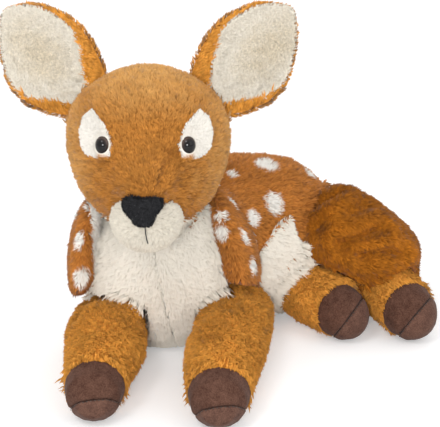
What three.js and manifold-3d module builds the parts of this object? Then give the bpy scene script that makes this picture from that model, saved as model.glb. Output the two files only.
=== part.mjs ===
// A plush fawn that lies on its belly, in millimetres with +Z up. Its head looks along -Y, and its body
// runs back and bends to its own left, which is +X. The origin is on the floor, under the torso.
// Every stuffed form is a loft of ovals along a spine. Each form's table gives the spine's places as
// shares of its length, and the ovals as shares of its width and height.
import * as THREE from 'three';
import { ConvexGeometry } from 'three/addons/geometries/ConvexGeometry.js';
import { mergeVertices } from 'three/addons/utils/BufferGeometryUtils.js';
import Module from 'manifold-3d';

const wasm = await Module();
wasm.setup();

// Clearances and cuts
const seamGap = 0.3; // between two pieces that are sewn against each other
const seatPlay = 0.4; // between a limb and the room that it is seated and turns in
const passPlay = 0.8; // between an ear or the head and what it turns past
const floorCut = 0.5; // depth of the flat that a stuffed form gets where it rests
const trimSize = 1000; // side of the blocks that trim the pieces
const weldShare = 0.001; // of the seam gap, within which two corners are one

// Mesh fineness
const bodySides = 24; // a multiple of four, so that a corner of each ring points down at the floor
const bodyRings = 14;
const limbSides = 16;
const limbRings = 11;
const ballSides = 18;
const neckSides = 30;
const neckRings = 15;
const roomSides = 14;
const roomRings = 12;
const trimSides = 10;
const trimRings = 8;
const sweepSteps = 3;

// Torso
const torsoLength = 225;
const torsoWidth = 148;
const torsoHeight = 160;
const torsoFrontRound = 48;
const torsoBackRound = 60;
const torsoShares = [
  [-0.093, -0.395, 0.84, 0.82],
  [-0.076, -0.178, 0.97, 0.91],
  [0, 0, 1, 1],
  [0.164, 0.16, 0.99, 0.99],
  [0.369, 0.24, 0.95, 0.96],
  [0.564, 0.258, 0.9, 0.9],
  [0.689, 0.24, 0.86, 0.84],
];

// Rump, sewn on behind the torso at a place given in shares of the torso's length
const rumpLength = 150;
const rumpWidth = 132;
const rumpHeight = 136;
const rumpFrontRound = 50;
const rumpBackRound = 48;
const rumpPlaceShares = [0.467, 0.249];
const rumpShares = [
  [0, 0, 1, 1],
  [0.3, -0.033, 0.98, 0.88],
  [0.567, -0.133, 0.84, 0.7],
  [0.82, -0.28, 0.62, 0.5],
];

// Left thigh, over the rump's near side, at shares of the rump's length, length and height. The right
// one is pressed flat under the body
const leftThighLength = 130;
const leftThighDepth = 96;
const leftThighHeight = 92;
const leftThighFrontRound = 40;
const leftThighBackRound = 34;
const leftThighPlaceShares = [0.047, -0.16, 0.72];
const leftThighShares = [
  [0, 0, 0, 0.85, 0.95],
  [0.33, -0.108, -0.1, 1, 0.95],
  [0.638, -0.185, -0.26, 0.86, 0.82],
  [0.846, -0.23, -0.42, 0.66, 0.68],
];

// Upper forelegs, which are part of the spotted body. Their places are shares of the torso's width,
// length and height
const upperForelegWidth = 42;
const upperForelegDepth = 82;
const upperForelegLength = 100;
const upperForelegTopRound = 28;
const upperForelegEndRound = 24;
const leftShoulderPlaceShares = [0.122, -0.133, 0.95];
const leftUpperForelegShares = [
  [0.085, 0, 0, 0.36, 0.66],
  [0.22, -0.1, -0.3, 0.77, 0.92],
  [0.335, -0.2, -0.6, 0.9, 1],
  [0.39, -0.22, -1.05, 0.86, 0.95],
];
const rightShoulderPlaceShares = [-0.446, -0.151, 0.925];
const rightUpperForelegShares = [
  [-0.1, 0, 0, 0.34, 0.66],
  [-0.21, -0.08, -0.28, 0.58, 0.92],
  [-0.26, -0.16, -0.58, 0.63, 1],
  [-0.266, -0.18, -1.02, 0.62, 0.95],
];

// Forelegs, from the elbow's ball to the hoof. The elbows' places are shares of the torso's width and
// length
const forelegWidth = 82;
const forelegHeight = 78;
const elbowRadius = 22;
const foreHoofRound = 26;
const leftForelegLength = 225;
const leftElbowPlaceShares = [0.331, -0.231];
const leftForelegShares = [
  [0.03, 0.164, 0.8, 0.76],
  [0.02, 0, 0.82, 0.76],
  [-0.008, -0.213, 0.88, 0.86],
  [-0.044, -0.413, 0.92, 0.86],
  [-0.06, -0.569, 0.82, 0.76],
  [-0.067, -0.716, 0.68, 0.68],
  [-0.067, -0.836, 0.63, 0.63],
];
const rightForelegLength = 210;
const rightElbowPlaceShares = [-0.48, -0.231];
const rightForelegShares = [
  [0, 0.176, 0.86, 0.6],
  [0, 0, 0.88, 0.6],
  [0.015, -0.214, 0.93, 0.84],
  [0.02, -0.419, 0.93, 0.86],
  [0.002, -0.571, 0.76, 0.76],
  [-0.004, -0.714, 0.67, 0.68],
  [-0.004, -0.838, 0.61, 0.63],
];

// Hind legs, from the hock's ball to the hoof. The hocks' places are shares of the rump's length
const hindlegWidth = 66;
const hindlegHeight = 62;
const hockRadius = 31;
const hindHoofRound = 26;
const rightHindlegLength = 120;
const rightHockPlaceShares = [0.067, -0.293];
const rightHindlegShares = [
  [-0.117, 0.219, 0.94, 1],
  [0, 0, 0.94, 1],
  [0.17, -0.217, 0.94, 0.98],
  [0.31, -0.417, 0.8, 0.88],
  [0.435, -0.6, 0.75, 0.82],
];
const leftHindlegLength = 110;
const leftHockPlaceShares = [0.613, -0.347];
const leftHindlegShares = [
  [-0.126, 0.252, 0.92, 1],
  [0, 0, 0.92, 1],
  [0.09, -0.2, 0.92, 0.98],
  [0.18, -0.4, 0.84, 0.9],
  [0.28, -0.6, 0.78, 0.84],
];

// Hooves: a suede upper and a sole, sewn together across the toe. The sole faces down and ahead
const hoofLength = 36;
const hoofInset = 2; // how far the suede lies inside the fur's outline
const foreSoleRiseShare = 0.17; // of the hoof's height, from its middle up to the seam
const hindSoleRiseShare = 0.34;
const soleTiltAngle = 42;
const foreHoofRollAngle = 9;
const hindHoofRollAngle = 43;

// Tail, on the back of the rump. The point that it grows from is in shares of the rump's length and height
const tailLength = 66;
const tailWidth = 36;
const tailHeight = 22;
const tailRound = 16;
const tailSeat = 7; // how far its root reaches into the rump
const tailInnerShares = [0.47, 0.1, 0.4];
const tailHeadingAngle = 82; // from +X towards +Y
const tailShares = [
  [0, 0, 0.66, 1],
  [0.34, -0.06, 1, 1],
  [0.68, -0.2, 1, 0.95],
  [0.96, -0.42, 0.7, 0.8],
];

// Neck: a stuffed ball that the torso and the head both turn about, placed in shares of the torso's
// width, length and height
const neckRadius = 45;
const neckPlaceShares = [-0.189, -0.222, 0.9375];

// Head, a stack of ovals from the throat to the crown. The throat's place is in shares of the neck's radius
const headHeight = 141;
const headWidth = 148;
const headDepth = 136;
const throatRound = 34;
const crownRound = 48;
const throatPlaceShares = [-1.2, -0.356];
const headShares = [
  [0, 0, 0.65, 0.68],
  [0.063, 0.147, 0.76, 0.81],
  [0.119, 0.287, 0.88, 0.94],
  [0.161, 0.427, 0.97, 1],
  [0.189, 0.566, 1, 0.97],
  [0.231, 0.741, 0.96, 0.91],
  [0.273, 0.881, 0.88, 0.82],
  [0.308, 1, 0.81, 0.76],
];

// Snout bridge, the brown top of the nose, part of the head's skin. Its place is in shares of the
// head's depth and height
const bridgeLength = 62;
const bridgeWidth = 58;
const bridgeThickness = 44;
const bridgeStartRound = 22;
const bridgeEndRound = 20;
const bridgePlaceShares = [0, -0.08, 0.64];
const bridgeShares = [
  [0, 0, 0.9, 0.9],
  [-0.2, -0.3, 1.04, 1],
  [-0.43, -0.54, 1, 0.98],
  [-0.74, -0.76, 0.76, 0.8],
];

// Jaw gusset, the cream underside of the head
const jawRiseShare = 0.08;
const jawTiltAngle = 6;

// Muzzle, the cream ball under the nose
const muzzleWidth = 66;
const muzzleDepth = 70;
const muzzleHeight = 60;
const muzzlePlaceShares = [0, -0.22, 0.16];

// Nose pad, a rounded triangle, and the thread line of the mouth below it
const noseWidth = 36;
const noseHeight = 26;
const noseThickness = 10;
const noseDomeShare = 1.3; // how far the dome that rounds the pad reaches past its outline
const nosePlaceShares = [-0.015, 0, 0.29];
const noseShares = [
  [-0.44, 0.3],
  [-0.28, 0.47],
  [0, 0.42],
  [0.3, 0.47],
  [0.48, 0.34],
  [0.48, 0.08],
  [0.34, -0.2],
  [0.16, -0.44],
  [0, -0.5],
  [-0.2, -0.42],
  [-0.4, -0.12],
  [-0.48, 0.1],
];
const threadDiameter = 1.8;
const mouthLength = 14;
const mouthLeanAngle = 14;
const mouthSteps = 3;

// Ears: a leaf that cups forward, with a furry back and a short-pile lining. Each row has the widths on
// the crown's side and on the outer side, at even steps from the root to the tip. The line that an ear
// grows along starts inside the head, at shares of its width, depth and height
const earLength = 101;
const earWidth = 80;
const earCup = 20;
const earBackThickness = 6;
const earLiningThickness = 2.4;
const earLiningLift = 1; // from the ear's back, clear of the facets of both
const earSeat = 9; // how far the ear's root reaches into the head
const earTipRound = 20;
const earFlattenShare = 0.45; // how much flatter the cup is at the tip than at the root
const earRows = 9;
const earColumns = 6;
const earRoomRows = 4;
const earRoomColumns = 4;
const earRoomShare = 0.4; // of the ear's length, over which its room is made
const earWidthShares = [
  [0.54, 0.77, 0.91, 0.96, 0.85, 0.64, 0.3],
  [0.62, 0.92, 1.09, 1.07, 0.87, 0.58, 0.26],
];
const liningWidthShares = [
  [0.16, 0.3, 0.7, 0.82, 0.83, 0.87, 0.9],
  [0.4, 0.66, 0.88, 0.95, 0.96, 0.95, 0.92],
];
const wholeWidthShares = [[1, 1], [1, 1]];
const earInnerShares = [0.215, 0.28, 0.64];
const leftEarLeanAngle = 46;
const rightEarLeanAngle = 47;
const earTipBackAngle = 16;
const earTwistAngle = 12;

// Eyes: an oval safety eye with a stem that a washer locks behind the skin
const eyeWidth = 14.5;
const eyeHeight = 17;
const eyeDome = 6;
const eyePlaceShares = [0.243, 0.622];
const eyeTurnAngle = 27;
const stemDiameter = 4;
const stemLength = 13;
const washerDiameter = 15;
const washerThickness = 2.5;
const washerDepth = 7; // from the dome's foot to the washer's near face

// Eye patches, measured outwards and upwards from the eye
const eyePatchThickness = 2;
const eyePatchWidth = 27;
const eyePatchHeight = 39;
const eyePatchShares = [
  [0.34, 0.68],
  [0.62, 0.5],
  [0.73, 0.2],
  [0.68, -0.1],
  [0.48, -0.24],
  [-0.16, -0.28],
  [-0.27, 0.06],
  [-0.08, 0.41],
];

// Chest bib, in two halves with a slanting seam, and the cream belly panel. The bib's outline is in
// shares of the torso's width and height, the belly panel's in shares of its length and height
const panelThickness = 2.5;
const bibBackShare = 0.1; // of the torso's length, from the origin forward to the bib's back edge
const bibShares = [
  [-0.622, 1],
  [-0.6, 0.3],
  [-0.36, 0.12],
  [-0.218, 0],
  [0.028, 0],
  [0.16, 0.12],
  [0.34, 0.3],
  [0.36, 0.53],
  [0.24, 0.8],
  [0.2, 1],
];
const bibSeamShares = [
  [-0.169, 0.66],
  [-0.061, 0.16],
];
const bellyShares = [
  [0.267, 0],
  [0.274, 0.31],
  [0.32, 0.53],
  [0.377, 0.63],
  [0.448, 0.69],
  [0.484, 0.55],
  [0.555, 0.49],
  [0.622, 0.37],
  [0.622, 0],
];

// Pellet pouch in a pocket of the torso's filling, which opens behind the belly panel. Its place is in
// shares of the torso's length and height
const pouchWidth = 56;
const pouchDepth = 50;
const pouchHeight = 36;
const pocketMouthDiameter = 26;
const pouchPlaceShares = [0.2, 0.13, 0.3];
const pocketMouthPlaceShares = [0.44, -0.16, 0.5];

// How far each seam lets its limb turn, in degrees
const nodAngles = [-8, 8];
const turnAngles = [-20, 20];
const earAngles = [-20, 15];
const forelegAngles = [-12, 4];
const rightHindlegAngles = [-14, 0];
const leftHindlegAngles = [0, 14];
const tailAngles = [-20, 20];

// The furs, suede and plastics
const fur = (color) => new THREE.MeshStandardMaterial({ color, roughness: 0.95, metalness: 0 });
const orangeFur = fur('#c4843f');
const spottedFur = fur('#a9683a');
const creamFur = fur('#efe9dd');
const liningFur = fur('#e6ddcf');
const hoofSuede = new THREE.MeshStandardMaterial({ color: '#5f4641', roughness: 0.9, metalness: 0 });
const hoofSoleSuede = new THREE.MeshStandardMaterial({ color: '#6f544e', roughness: 0.9, metalness: 0 });
const blackThread = new THREE.MeshStandardMaterial({ color: '#1e1e20', roughness: 0.8, metalness: 0 });
const eyePlastic = new THREE.MeshStandardMaterial({ color: '#1b100c', roughness: 0.08, metalness: 0 });
const washerPlastic = new THREE.MeshStandardMaterial({ color: '#e9e9e4', roughness: 0.5, metalness: 0 });
const pouchCloth = new THREE.MeshStandardMaterial({ color: '#dcd8cc', roughness: 0.9, metalness: 0 });

const point = (aside, back, rise) => new THREE.Vector3(aside, back, rise);
const radians = THREE.MathUtils.degToRad;
const origin = point(0, 0, 0);
const acrossAxis = point(1, 0, 0);
const uprightAxis = point(0, 0, 1);
const forward = point(0, -1, 0);

// A closed geometry as a solid that can be joined and cut
function solidOf(geometry) {
  const bare = geometry.index ? geometry.toNonIndexed() : geometry.clone();
  for (const name of Object.keys(bare.attributes)) {
    if (name !== 'position') bare.deleteAttribute(name);
  }
  const merged = mergeVertices(bare, seamGap * weldShare);
  return new wasm.Manifold(
    new wasm.Mesh({
      numProp: 3,
      vertProperties: new Float32Array(merged.attributes.position.array),
      triVerts: new Uint32Array(merged.index.array),
    }),
  );
}

// The solid's faces as a geometry, measured from the point that its group stands at
function geometryOf(solid, from) {
  const mesh = solid.getMesh();
  const geometry = new THREE.BufferGeometry();
  geometry.setAttribute('position', new THREE.BufferAttribute(new Float32Array(mesh.vertProperties), 3));
  geometry.setIndex(new THREE.BufferAttribute(new Uint32Array(mesh.triVerts), 1));
  geometry.translate(-from.x, -from.y, -from.z);
  geometry.computeVertexNormals();
  return geometry;
}

// What the given rooms leave of a solid, without the crumbs that they part from it
function cut(solid, ...rooms) {
  const rest = rooms.reduce((left, room) => left.subtract(room), solid);
  return rest.decompose().reduce((most, piece) => (piece.volume() > most.volume() ? piece : most));
}

// A closed skin over rings of points, with a point at each end
function skinOver(first, rings, last) {
  const sides = rings[0].length;
  const points = [first, ...rings.flat(), last];
  const positions = [];
  const face = (a, b, c) => [a, b, c].forEach((i) => positions.push(points[i].x, points[i].y, points[i].z));
  for (let side = 0; side < sides; side++) {
    const next = (side + 1) % sides;
    face(0, 1 + side, 1 + next);
    for (let ring = 0; ring + 1 < rings.length; ring++) {
      const here = 1 + ring * sides;
      face(here + side, here + sides + side, here + next);
      face(here + next, here + sides + side, here + sides + next);
    }
    const end = 1 + (rings.length - 1) * sides;
    face(end + side, points.length - 1, end + next);
  }
  const geometry = new THREE.BufferGeometry();
  geometry.setAttribute('position', new THREE.Float32BufferAttribute(positions, 3));
  return geometry;
}

// How near a place is to a rounded end: 1 at the very end, 0 where the round stops
const endNearness = (distance, round) => Math.max(0, 1 - distance / round);
const quarterRound = (nearness) => Math.sqrt(1 - nearness ** 2);

// A loft of ovals along a spine, closed by a round at each end and grown outwards by the given amount
function loft(form, grow = 0, sides = limbSides, rings = limbRings) {
  const spine = new THREE.CatmullRomCurve3(form.spine, false, 'catmullrom', 0.5);
  const ovals = new THREE.CatmullRomCurve3(form.ovals, false, 'catmullrom', 0.5);
  const length = spine.getLength();
  const ringAt = (share) => {
    const u = spine.getUtoTmapping(share);
    const start = endNearness(share * length, form.startRound);
    const end = endNearness((1 - share) * length, form.endRound);
    const along = spine.getTangent(u);
    const centre = spine.getPoint(u).addScaledVector(along, grow * (end - start));
    const facing = form.standsUpright ? along.clone().setZ(0).normalize() : along;
    const side = new THREE.Vector3().crossVectors(facing, form.up).normalize();
    const lift = new THREE.Vector3().crossVectors(side, facing);
    const oval = ovals.getPoint(u);
    const factor = quarterRound(start) * quarterRound(end);
    return Array.from({ length: sides }, (_, i) => {
      const turn = (2 * Math.PI * i) / sides;
      return centre
        .clone()
        .addScaledVector(side, factor * (oval.x + grow) * Math.cos(turn))
        .addScaledVector(lift, factor * (oval.y + grow) * Math.sin(turn));
    });
  };
  const skin = [];
  for (let ring = 1; ring < rings; ring++) {
    skin.push(ringAt((1 - Math.cos((Math.PI * ring) / rings)) / 2));
  }
  const first = spine.getPoint(0).addScaledVector(spine.getTangent(0), -grow);
  const last = spine.getPoint(1).addScaledVector(spine.getTangent(1), grow);
  return solidOf(skinOver(first, skin, last));
}

// The stations of a form that lies on the floor: its ovals stand upright, and their own height keeps each
// centre above the floor
function lyingForm(anchor, length, width, height, shares, startRound, endRound) {
  return {
    spine: shares.map(([x, y, , h]) =>
      point(anchor.x + x * length, anchor.y + y * length, (h * height) / 2 - floorCut)),
    ovals: shares.map(([, , w, h]) => point((w * width) / 2, (h * height) / 2, 0)),
    up: uprightAxis,
    standsUpright: true,
    startRound,
    endRound,
  };
}

// The stations of a form that is held up
function raisedForm(anchor, length, width, height, shares, startRound, endRound, up = uprightAxis) {
  return {
    spine: shares.map(([x, y, z]) =>
      point(anchor.x + x * length, anchor.y + y * length, anchor.z + z * length)),
    ovals: shares.map(([, , , w, h]) => point((w * width) / 2, (h * height) / 2, 0)),
    up,
    startRound,
    endRound,
  };
}

// The same in a table whose spine stays in one upright plane: places ahead and up, with no place aside
const inMiddlePlane = (shares) => shares.map(([y, z, w, h]) => [0, y, z, w, h]);

// An ellipsoid, and the room that a ball turns in
function ellipsoid(centre, width, depth, height, sides = limbSides, rings = limbRings) {
  const geometry = new THREE.SphereGeometry(1, sides, rings);
  geometry.rotateX(Math.PI / 2);
  geometry.scale(width / 2, depth / 2, height / 2);
  geometry.translate(centre.x, centre.y, centre.z);
  return solidOf(geometry);
}
function ballRoom(centre, radius) {
  const clear = (2 * (radius + seamGap)) / Math.cos(Math.PI / neckSides) ** 2;
  return ellipsoid(centre, clear, clear, clear, neckSides, neckRings);
}

// A block on one side of a plane, for trimming
function blockBeyond(place, normal) {
  const geometry = new THREE.BoxGeometry(trimSize, trimSize, trimSize);
  geometry.translate(0, 0, trimSize / 2);
  const turn = new THREE.Quaternion().setFromUnitVectors(uprightAxis, normal.clone().normalize());
  geometry.applyQuaternion(turn);
  geometry.translate(place.x, place.y, place.z);
  return solidOf(geometry);
}
const aboveFloor = blockBeyond(origin, uprightAxis);

// The two parts of a solid on either side of a plane, with a seam between them
function halves(solid, place, normal) {
  const step = normal.clone().setLength(seamGap / 2);
  return [
    cut(solid, blockBeyond(place.clone().add(step), normal.clone().negate())),
    cut(solid, blockBeyond(place.clone().sub(step), normal)),
  ];
}

// A solid at several angles of its turn about a pivot, from one end of its range to the other
function turnedCopies(solid, pivot, axis, angles) {
  return Array.from({ length: sweepSteps + 1 }, (_, step) => {
    const angle = radians(angles[0] + ((angles[1] - angles[0]) * step) / sweepSteps);
    const turned = new THREE.Matrix4()
      .makeTranslation(pivot.x, pivot.y, pivot.z)
      .multiply(new THREE.Matrix4().makeRotationAxis(axis, angle))
      .multiply(new THREE.Matrix4().makeTranslation(-pivot.x, -pivot.y, -pivot.z));
    return solid.transform(turned.elements);
  });
}

// A loft whose flats all lie outside the form's own, by the given play
function clearLoft(form, play) {
  const oval = Math.max(...form.ovals.map(({ x, y }) => Math.max(x, y)));
  const clear = (oval + play) / Math.cos(Math.PI / roomSides) - oval;
  return loft(form, clear, roomSides, roomRings);
}

// The room that a stuffed form turns in: the hull of all its places
function turningRoom(form, pivot, axis, angles) {
  const corners = turnedCopies(clearLoft(form, seatPlay), pivot, axis, angles).flatMap((copy) => {
    const { vertProperties } = copy.getMesh();
    return Array.from({ length: vertProperties.length / 3 }, (_, i) =>
      new THREE.Vector3().fromArray(vertProperties, 3 * i));
  });
  return solidOf(new ConvexGeometry(corners));
}

// An outline, drawn in the upright plane across the toy, pushed through it from front to back
function upright(outline, front, back) {
  const depth = back - front;
  const geometry = new THREE.ExtrudeGeometry(new THREE.Shape(outline), { depth, bevelEnabled: false });
  geometry.rotateX(Math.PI / 2);
  geometry.translate(0, back, 0);
  return solidOf(geometry);
}

// A round bar from one point to another
function bar(from, to, diameter) {
  const along = to.clone().sub(from);
  const geometry = new THREE.CylinderGeometry(diameter / 2, diameter / 2, along.length(), trimSides);
  geometry.applyQuaternion(new THREE.Quaternion().setFromUnitVectors(point(0, 1, 0), along.normalize()));
  const middle = from.clone().add(to).multiplyScalar(1 / 2);
  geometry.translate(middle.x, middle.y, middle.z);
  return solidOf(geometry);
}

// Where a line that starts inside a solid last leaves it
function skinPoint(solid, inside, direction) {
  const bothSides = new THREE.MeshBasicMaterial({ side: THREE.DoubleSide });
  const probe = new THREE.Mesh(geometryOf(solid, origin), bothSides);
  const hits = new THREE.Raycaster(inside, direction).intersectObject(probe);
  return hits[hits.length - 1].point;
}

// One group for each body that turns by itself, standing at the pivot that it turns about
const groups = new Map();
function addBody(name, pivot, parent) {
  const group = new THREE.Group();
  group.position.copy(pivot);
  group.userData.pivot = pivot;
  groups.set(name, group);
  if (!parent) return group;
  group.position.sub(groups.get(parent).userData.pivot);
  groups.get(parent).add(group);
  return group;
}
function addPiece(name, body, solid, material) {
  const mesh = new THREE.Mesh(geometryOf(solid, groups.get(body).userData.pivot), material);
  mesh.name = name;
  groups.get(body).add(mesh);
}

// The torso's form, and the rump's and thighs' that hang on it
const torsoForm = lyingForm(
  origin, torsoLength, torsoWidth, torsoHeight, torsoShares, torsoFrontRound, torsoBackRound);
const torsoSkin = (grow) => loft(torsoForm, grow, bodySides, bodyRings);
const onTorso = ([x, y, z]) => point(x * torsoWidth, y * torsoLength, z * torsoHeight);
const rumpAnchor = point(rumpPlaceShares[0] * torsoLength, rumpPlaceShares[1] * torsoLength, 0);
const onRump = ([x, y, z = 0]) =>
  point(rumpAnchor.x + x * rumpLength, rumpAnchor.y + y * rumpLength, z * rumpHeight);
const rumpForm = lyingForm(
  rumpAnchor, rumpLength, rumpWidth, rumpHeight, rumpShares, rumpFrontRound, rumpBackRound);
const leftThighForm = raisedForm(
  onRump(leftThighPlaceShares), leftThighLength, leftThighDepth, leftThighHeight,
  leftThighShares, leftThighFrontRound, leftThighBackRound);
const upperForelegForm = (placeShares, shares) => raisedForm(
  onTorso(placeShares), upperForelegLength, upperForelegWidth, upperForelegDepth,
  shares, upperForelegTopRound, upperForelegEndRound, forward);
const leftUpperForelegForm = upperForelegForm(leftShoulderPlaceShares, leftUpperForelegShares);
const rightUpperForelegForm = upperForelegForm(rightShoulderPlaceShares, rightUpperForelegShares);

// A leg that ends in a hoof. It turns about the ball at its upper end, inside the room that it sweeps
function legOf(
  place, length, width, height, shares, ballRadius, hoofRound, axis, angles, rollAngle, soleRiseShare) {
  const form = lyingForm(place, length, width, height, shares, ballRadius, hoofRound);
  const last = form.spine.length - 1;
  const toe = form.spine[last];
  const heading = toe.clone().sub(form.spine[last - 1]).setZ(0).normalize();
  const pivot = form.spine[1];
  const room = turningRoom(form, pivot, axis, angles);
  const hoofPlace = toe.clone().addScaledVector(heading, -hoofLength);
  const [shank] = halves(loft(form).intersect(aboveFloor), hoofPlace, heading.clone().negate());
  const [hoof] = halves(
    loft(form, -hoofInset).translate(0, 0, -hoofInset).intersect(aboveFloor), hoofPlace, heading);
  const rolled = uprightAxis.clone().applyAxisAngle(heading, radians(rollAngle));
  const seamPlace = toe.clone().addScaledVector(rolled, soleRiseShare * 2 * form.ovals[last].y);
  const upwards = rolled.addScaledVector(heading, -Math.tan(radians(soleTiltAngle))).normalize();
  const [hoofUpper, hoofSole] = halves(hoof, seamPlace, upwards);
  return { pivot, room, shank, hoofUpper, hoofSole };
}
const foreleg = (placeShares, length, shares) => legOf(
  onTorso([...placeShares, 0]), length, forelegWidth, forelegHeight, shares,
  elbowRadius, foreHoofRound, acrossAxis, forelegAngles, foreHoofRollAngle, foreSoleRiseShare);
const hindleg = (placeShares, length, shares, angles) => legOf(
  onRump(placeShares), length, hindlegWidth, hindlegHeight, shares,
  hockRadius, hindHoofRound, uprightAxis, angles, hindHoofRollAngle, hindSoleRiseShare);
const leftForeleg = foreleg(leftElbowPlaceShares, leftForelegLength, leftForelegShares);
const rightForeleg = foreleg(rightElbowPlaceShares, rightForelegLength, rightForelegShares);
const leftHindleg = hindleg(leftHockPlaceShares, leftHindlegLength, leftHindlegShares, leftHindlegAngles);
const rightHindleg = hindleg(
  rightHockPlaceShares, rightHindlegLength, rightHindlegShares, rightHindlegAngles);

// Neck ball
const neckCentre = onTorso(neckPlaceShares);
const neckRoom = ballRoom(neckCentre, neckRadius);
const neck = ellipsoid(neckCentre, 2 * neckRadius, 2 * neckRadius, 2 * neckRadius, neckSides, neckRings);

// The head's skin with its snout bridge, and places on it in shares of its width, depth and height
const throat = neckCentre.clone().add(
  point(0, throatPlaceShares[0] * neckRadius, throatPlaceShares[1] * neckRadius));
const onHead = ([x, y, z]) =>
  point(throat.x + x * headWidth, throat.y + y * headDepth, throat.z + z * headHeight);
const headForm = raisedForm(
  throat, headHeight, headWidth, headDepth, inMiddlePlane(headShares), throatRound, crownRound, forward);
const bridgeForm = raisedForm(
  onHead(bridgePlaceShares), bridgeLength, bridgeWidth, bridgeThickness, inMiddlePlane(bridgeShares),
  bridgeStartRound, bridgeEndRound);
const headSkin = (grow) => loft(headForm, grow, bodySides, bodyRings).add(loft(bridgeForm, grow));
const headBlank = headSkin(0);

// The muzzle ball, with the nose pad and the mouth's thread on it
const muzzleCentre = onHead(muzzlePlaceShares);
const muzzleSkin = (grow) => ellipsoid(
  muzzleCentre, muzzleWidth + 2 * grow, muzzleDepth + 2 * grow, muzzleHeight + 2 * grow);
const muzzle = cut(muzzleSkin(0), headSkin(seamGap));
const snoutRoom = muzzleSkin(seamGap).add(headSkin(seamGap));
const noseCentre = skinPoint(snoutRoom, onHead(nosePlaceShares), forward);
const noseOutline = noseShares.map(([x, z]) =>
  new THREE.Vector2(noseCentre.x + x * noseWidth, noseCentre.z + z * noseHeight));
const noseDome = ellipsoid(
  noseCentre, noseDomeShare * noseWidth, 2 * noseThickness, noseDomeShare * noseHeight,
  trimSides, trimRings);
const noseBlank = upright(noseOutline, noseCentre.y - noseThickness, noseCentre.y + noseThickness);
const nose = cut(noseDome.intersect(noseBlank), snoutRoom);

// The mouth's thread follows the muzzle down from the nose, and its back half is sunk in the pile
const mouthTop = point(noseCentre.x, noseCentre.y, noseCentre.z - noseHeight / 2 - threadDiameter);
const mouthPoints = Array.from({ length: mouthSteps + 1 }, (_, i) => {
  const down = (mouthLength * i) / mouthSteps;
  const aside = down * Math.tan(radians(mouthLeanAngle));
  return skinPoint(snoutRoom, point(mouthTop.x + aside, muzzleCentre.y, mouthTop.z - down), forward);
});
const mouthBars = mouthPoints.slice(1).map((to, i) => bar(mouthPoints[i], to, threadDiameter));
const mouth = cut(mouthBars.reduce((all, stretch) => all.add(stretch)), snoutRoom);

// An eye on each side: a dome whose foot lies on the patch, a stem through the skin, and its washer
function eyeOf(sign) {
  const foot = skinPoint(headBlank, onHead([sign * eyePlaceShares[0], 0, eyePlaceShares[1]]), forward);
  const outward = forward.clone().applyAxisAngle(uprightAxis, sign * radians(eyeTurnAngle));
  const along = (depth) => foot.clone().addScaledVector(outward, -depth);
  const geometry = new THREE.SphereGeometry(1, ballSides, trimRings);
  geometry.scale(eyeWidth / 2, eyeDome + eyePatchThickness, eyeHeight / 2);
  geometry.rotateZ(sign * radians(eyeTurnAngle));
  geometry.translate(foot.x, foot.y, foot.z);
  const footRoom = loft(headForm, eyePatchThickness + 2 * seamGap, bodySides, bodyRings);
  const dome = cut(solidOf(geometry), footRoom);
  const stemRoom = bar(along(-eyeDome), along(stemLength + seamGap), stemDiameter + 2 * seamGap);
  const farFace = washerDepth + washerThickness;
  const washerRoom = bar(
    along(washerDepth - seamGap), along(farFace + seamGap), washerDiameter + 2 * seamGap);
  return {
    eye: dome.add(bar(along(-eyePatchThickness - eyeDome / 2), along(stemLength), stemDiameter)),
    washer: cut(bar(along(washerDepth), along(farFace), washerDiameter), stemRoom),
    room: stemRoom.add(washerRoom),
    patch: cut(eyePatchBlank(foot, sign), stemRoom),
  };
}

// The white patch over and outside an eye, as thick as its pile over the head's skin
function eyePatchBlank(foot, sign) {
  const outline = eyePatchShares.map(([x, z]) =>
    new THREE.Vector2(foot.x + sign * x * eyePatchWidth, foot.z + z * eyePatchHeight));
  return upright(outline, -trimSize / 2, throat.y)
    .intersect(loft(headForm, seamGap + eyePatchThickness, bodySides, bodyRings))
    .subtract(headSkin(seamGap));
}
const leftEye = eyeOf(1);
const rightEye = eyeOf(-1);

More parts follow.
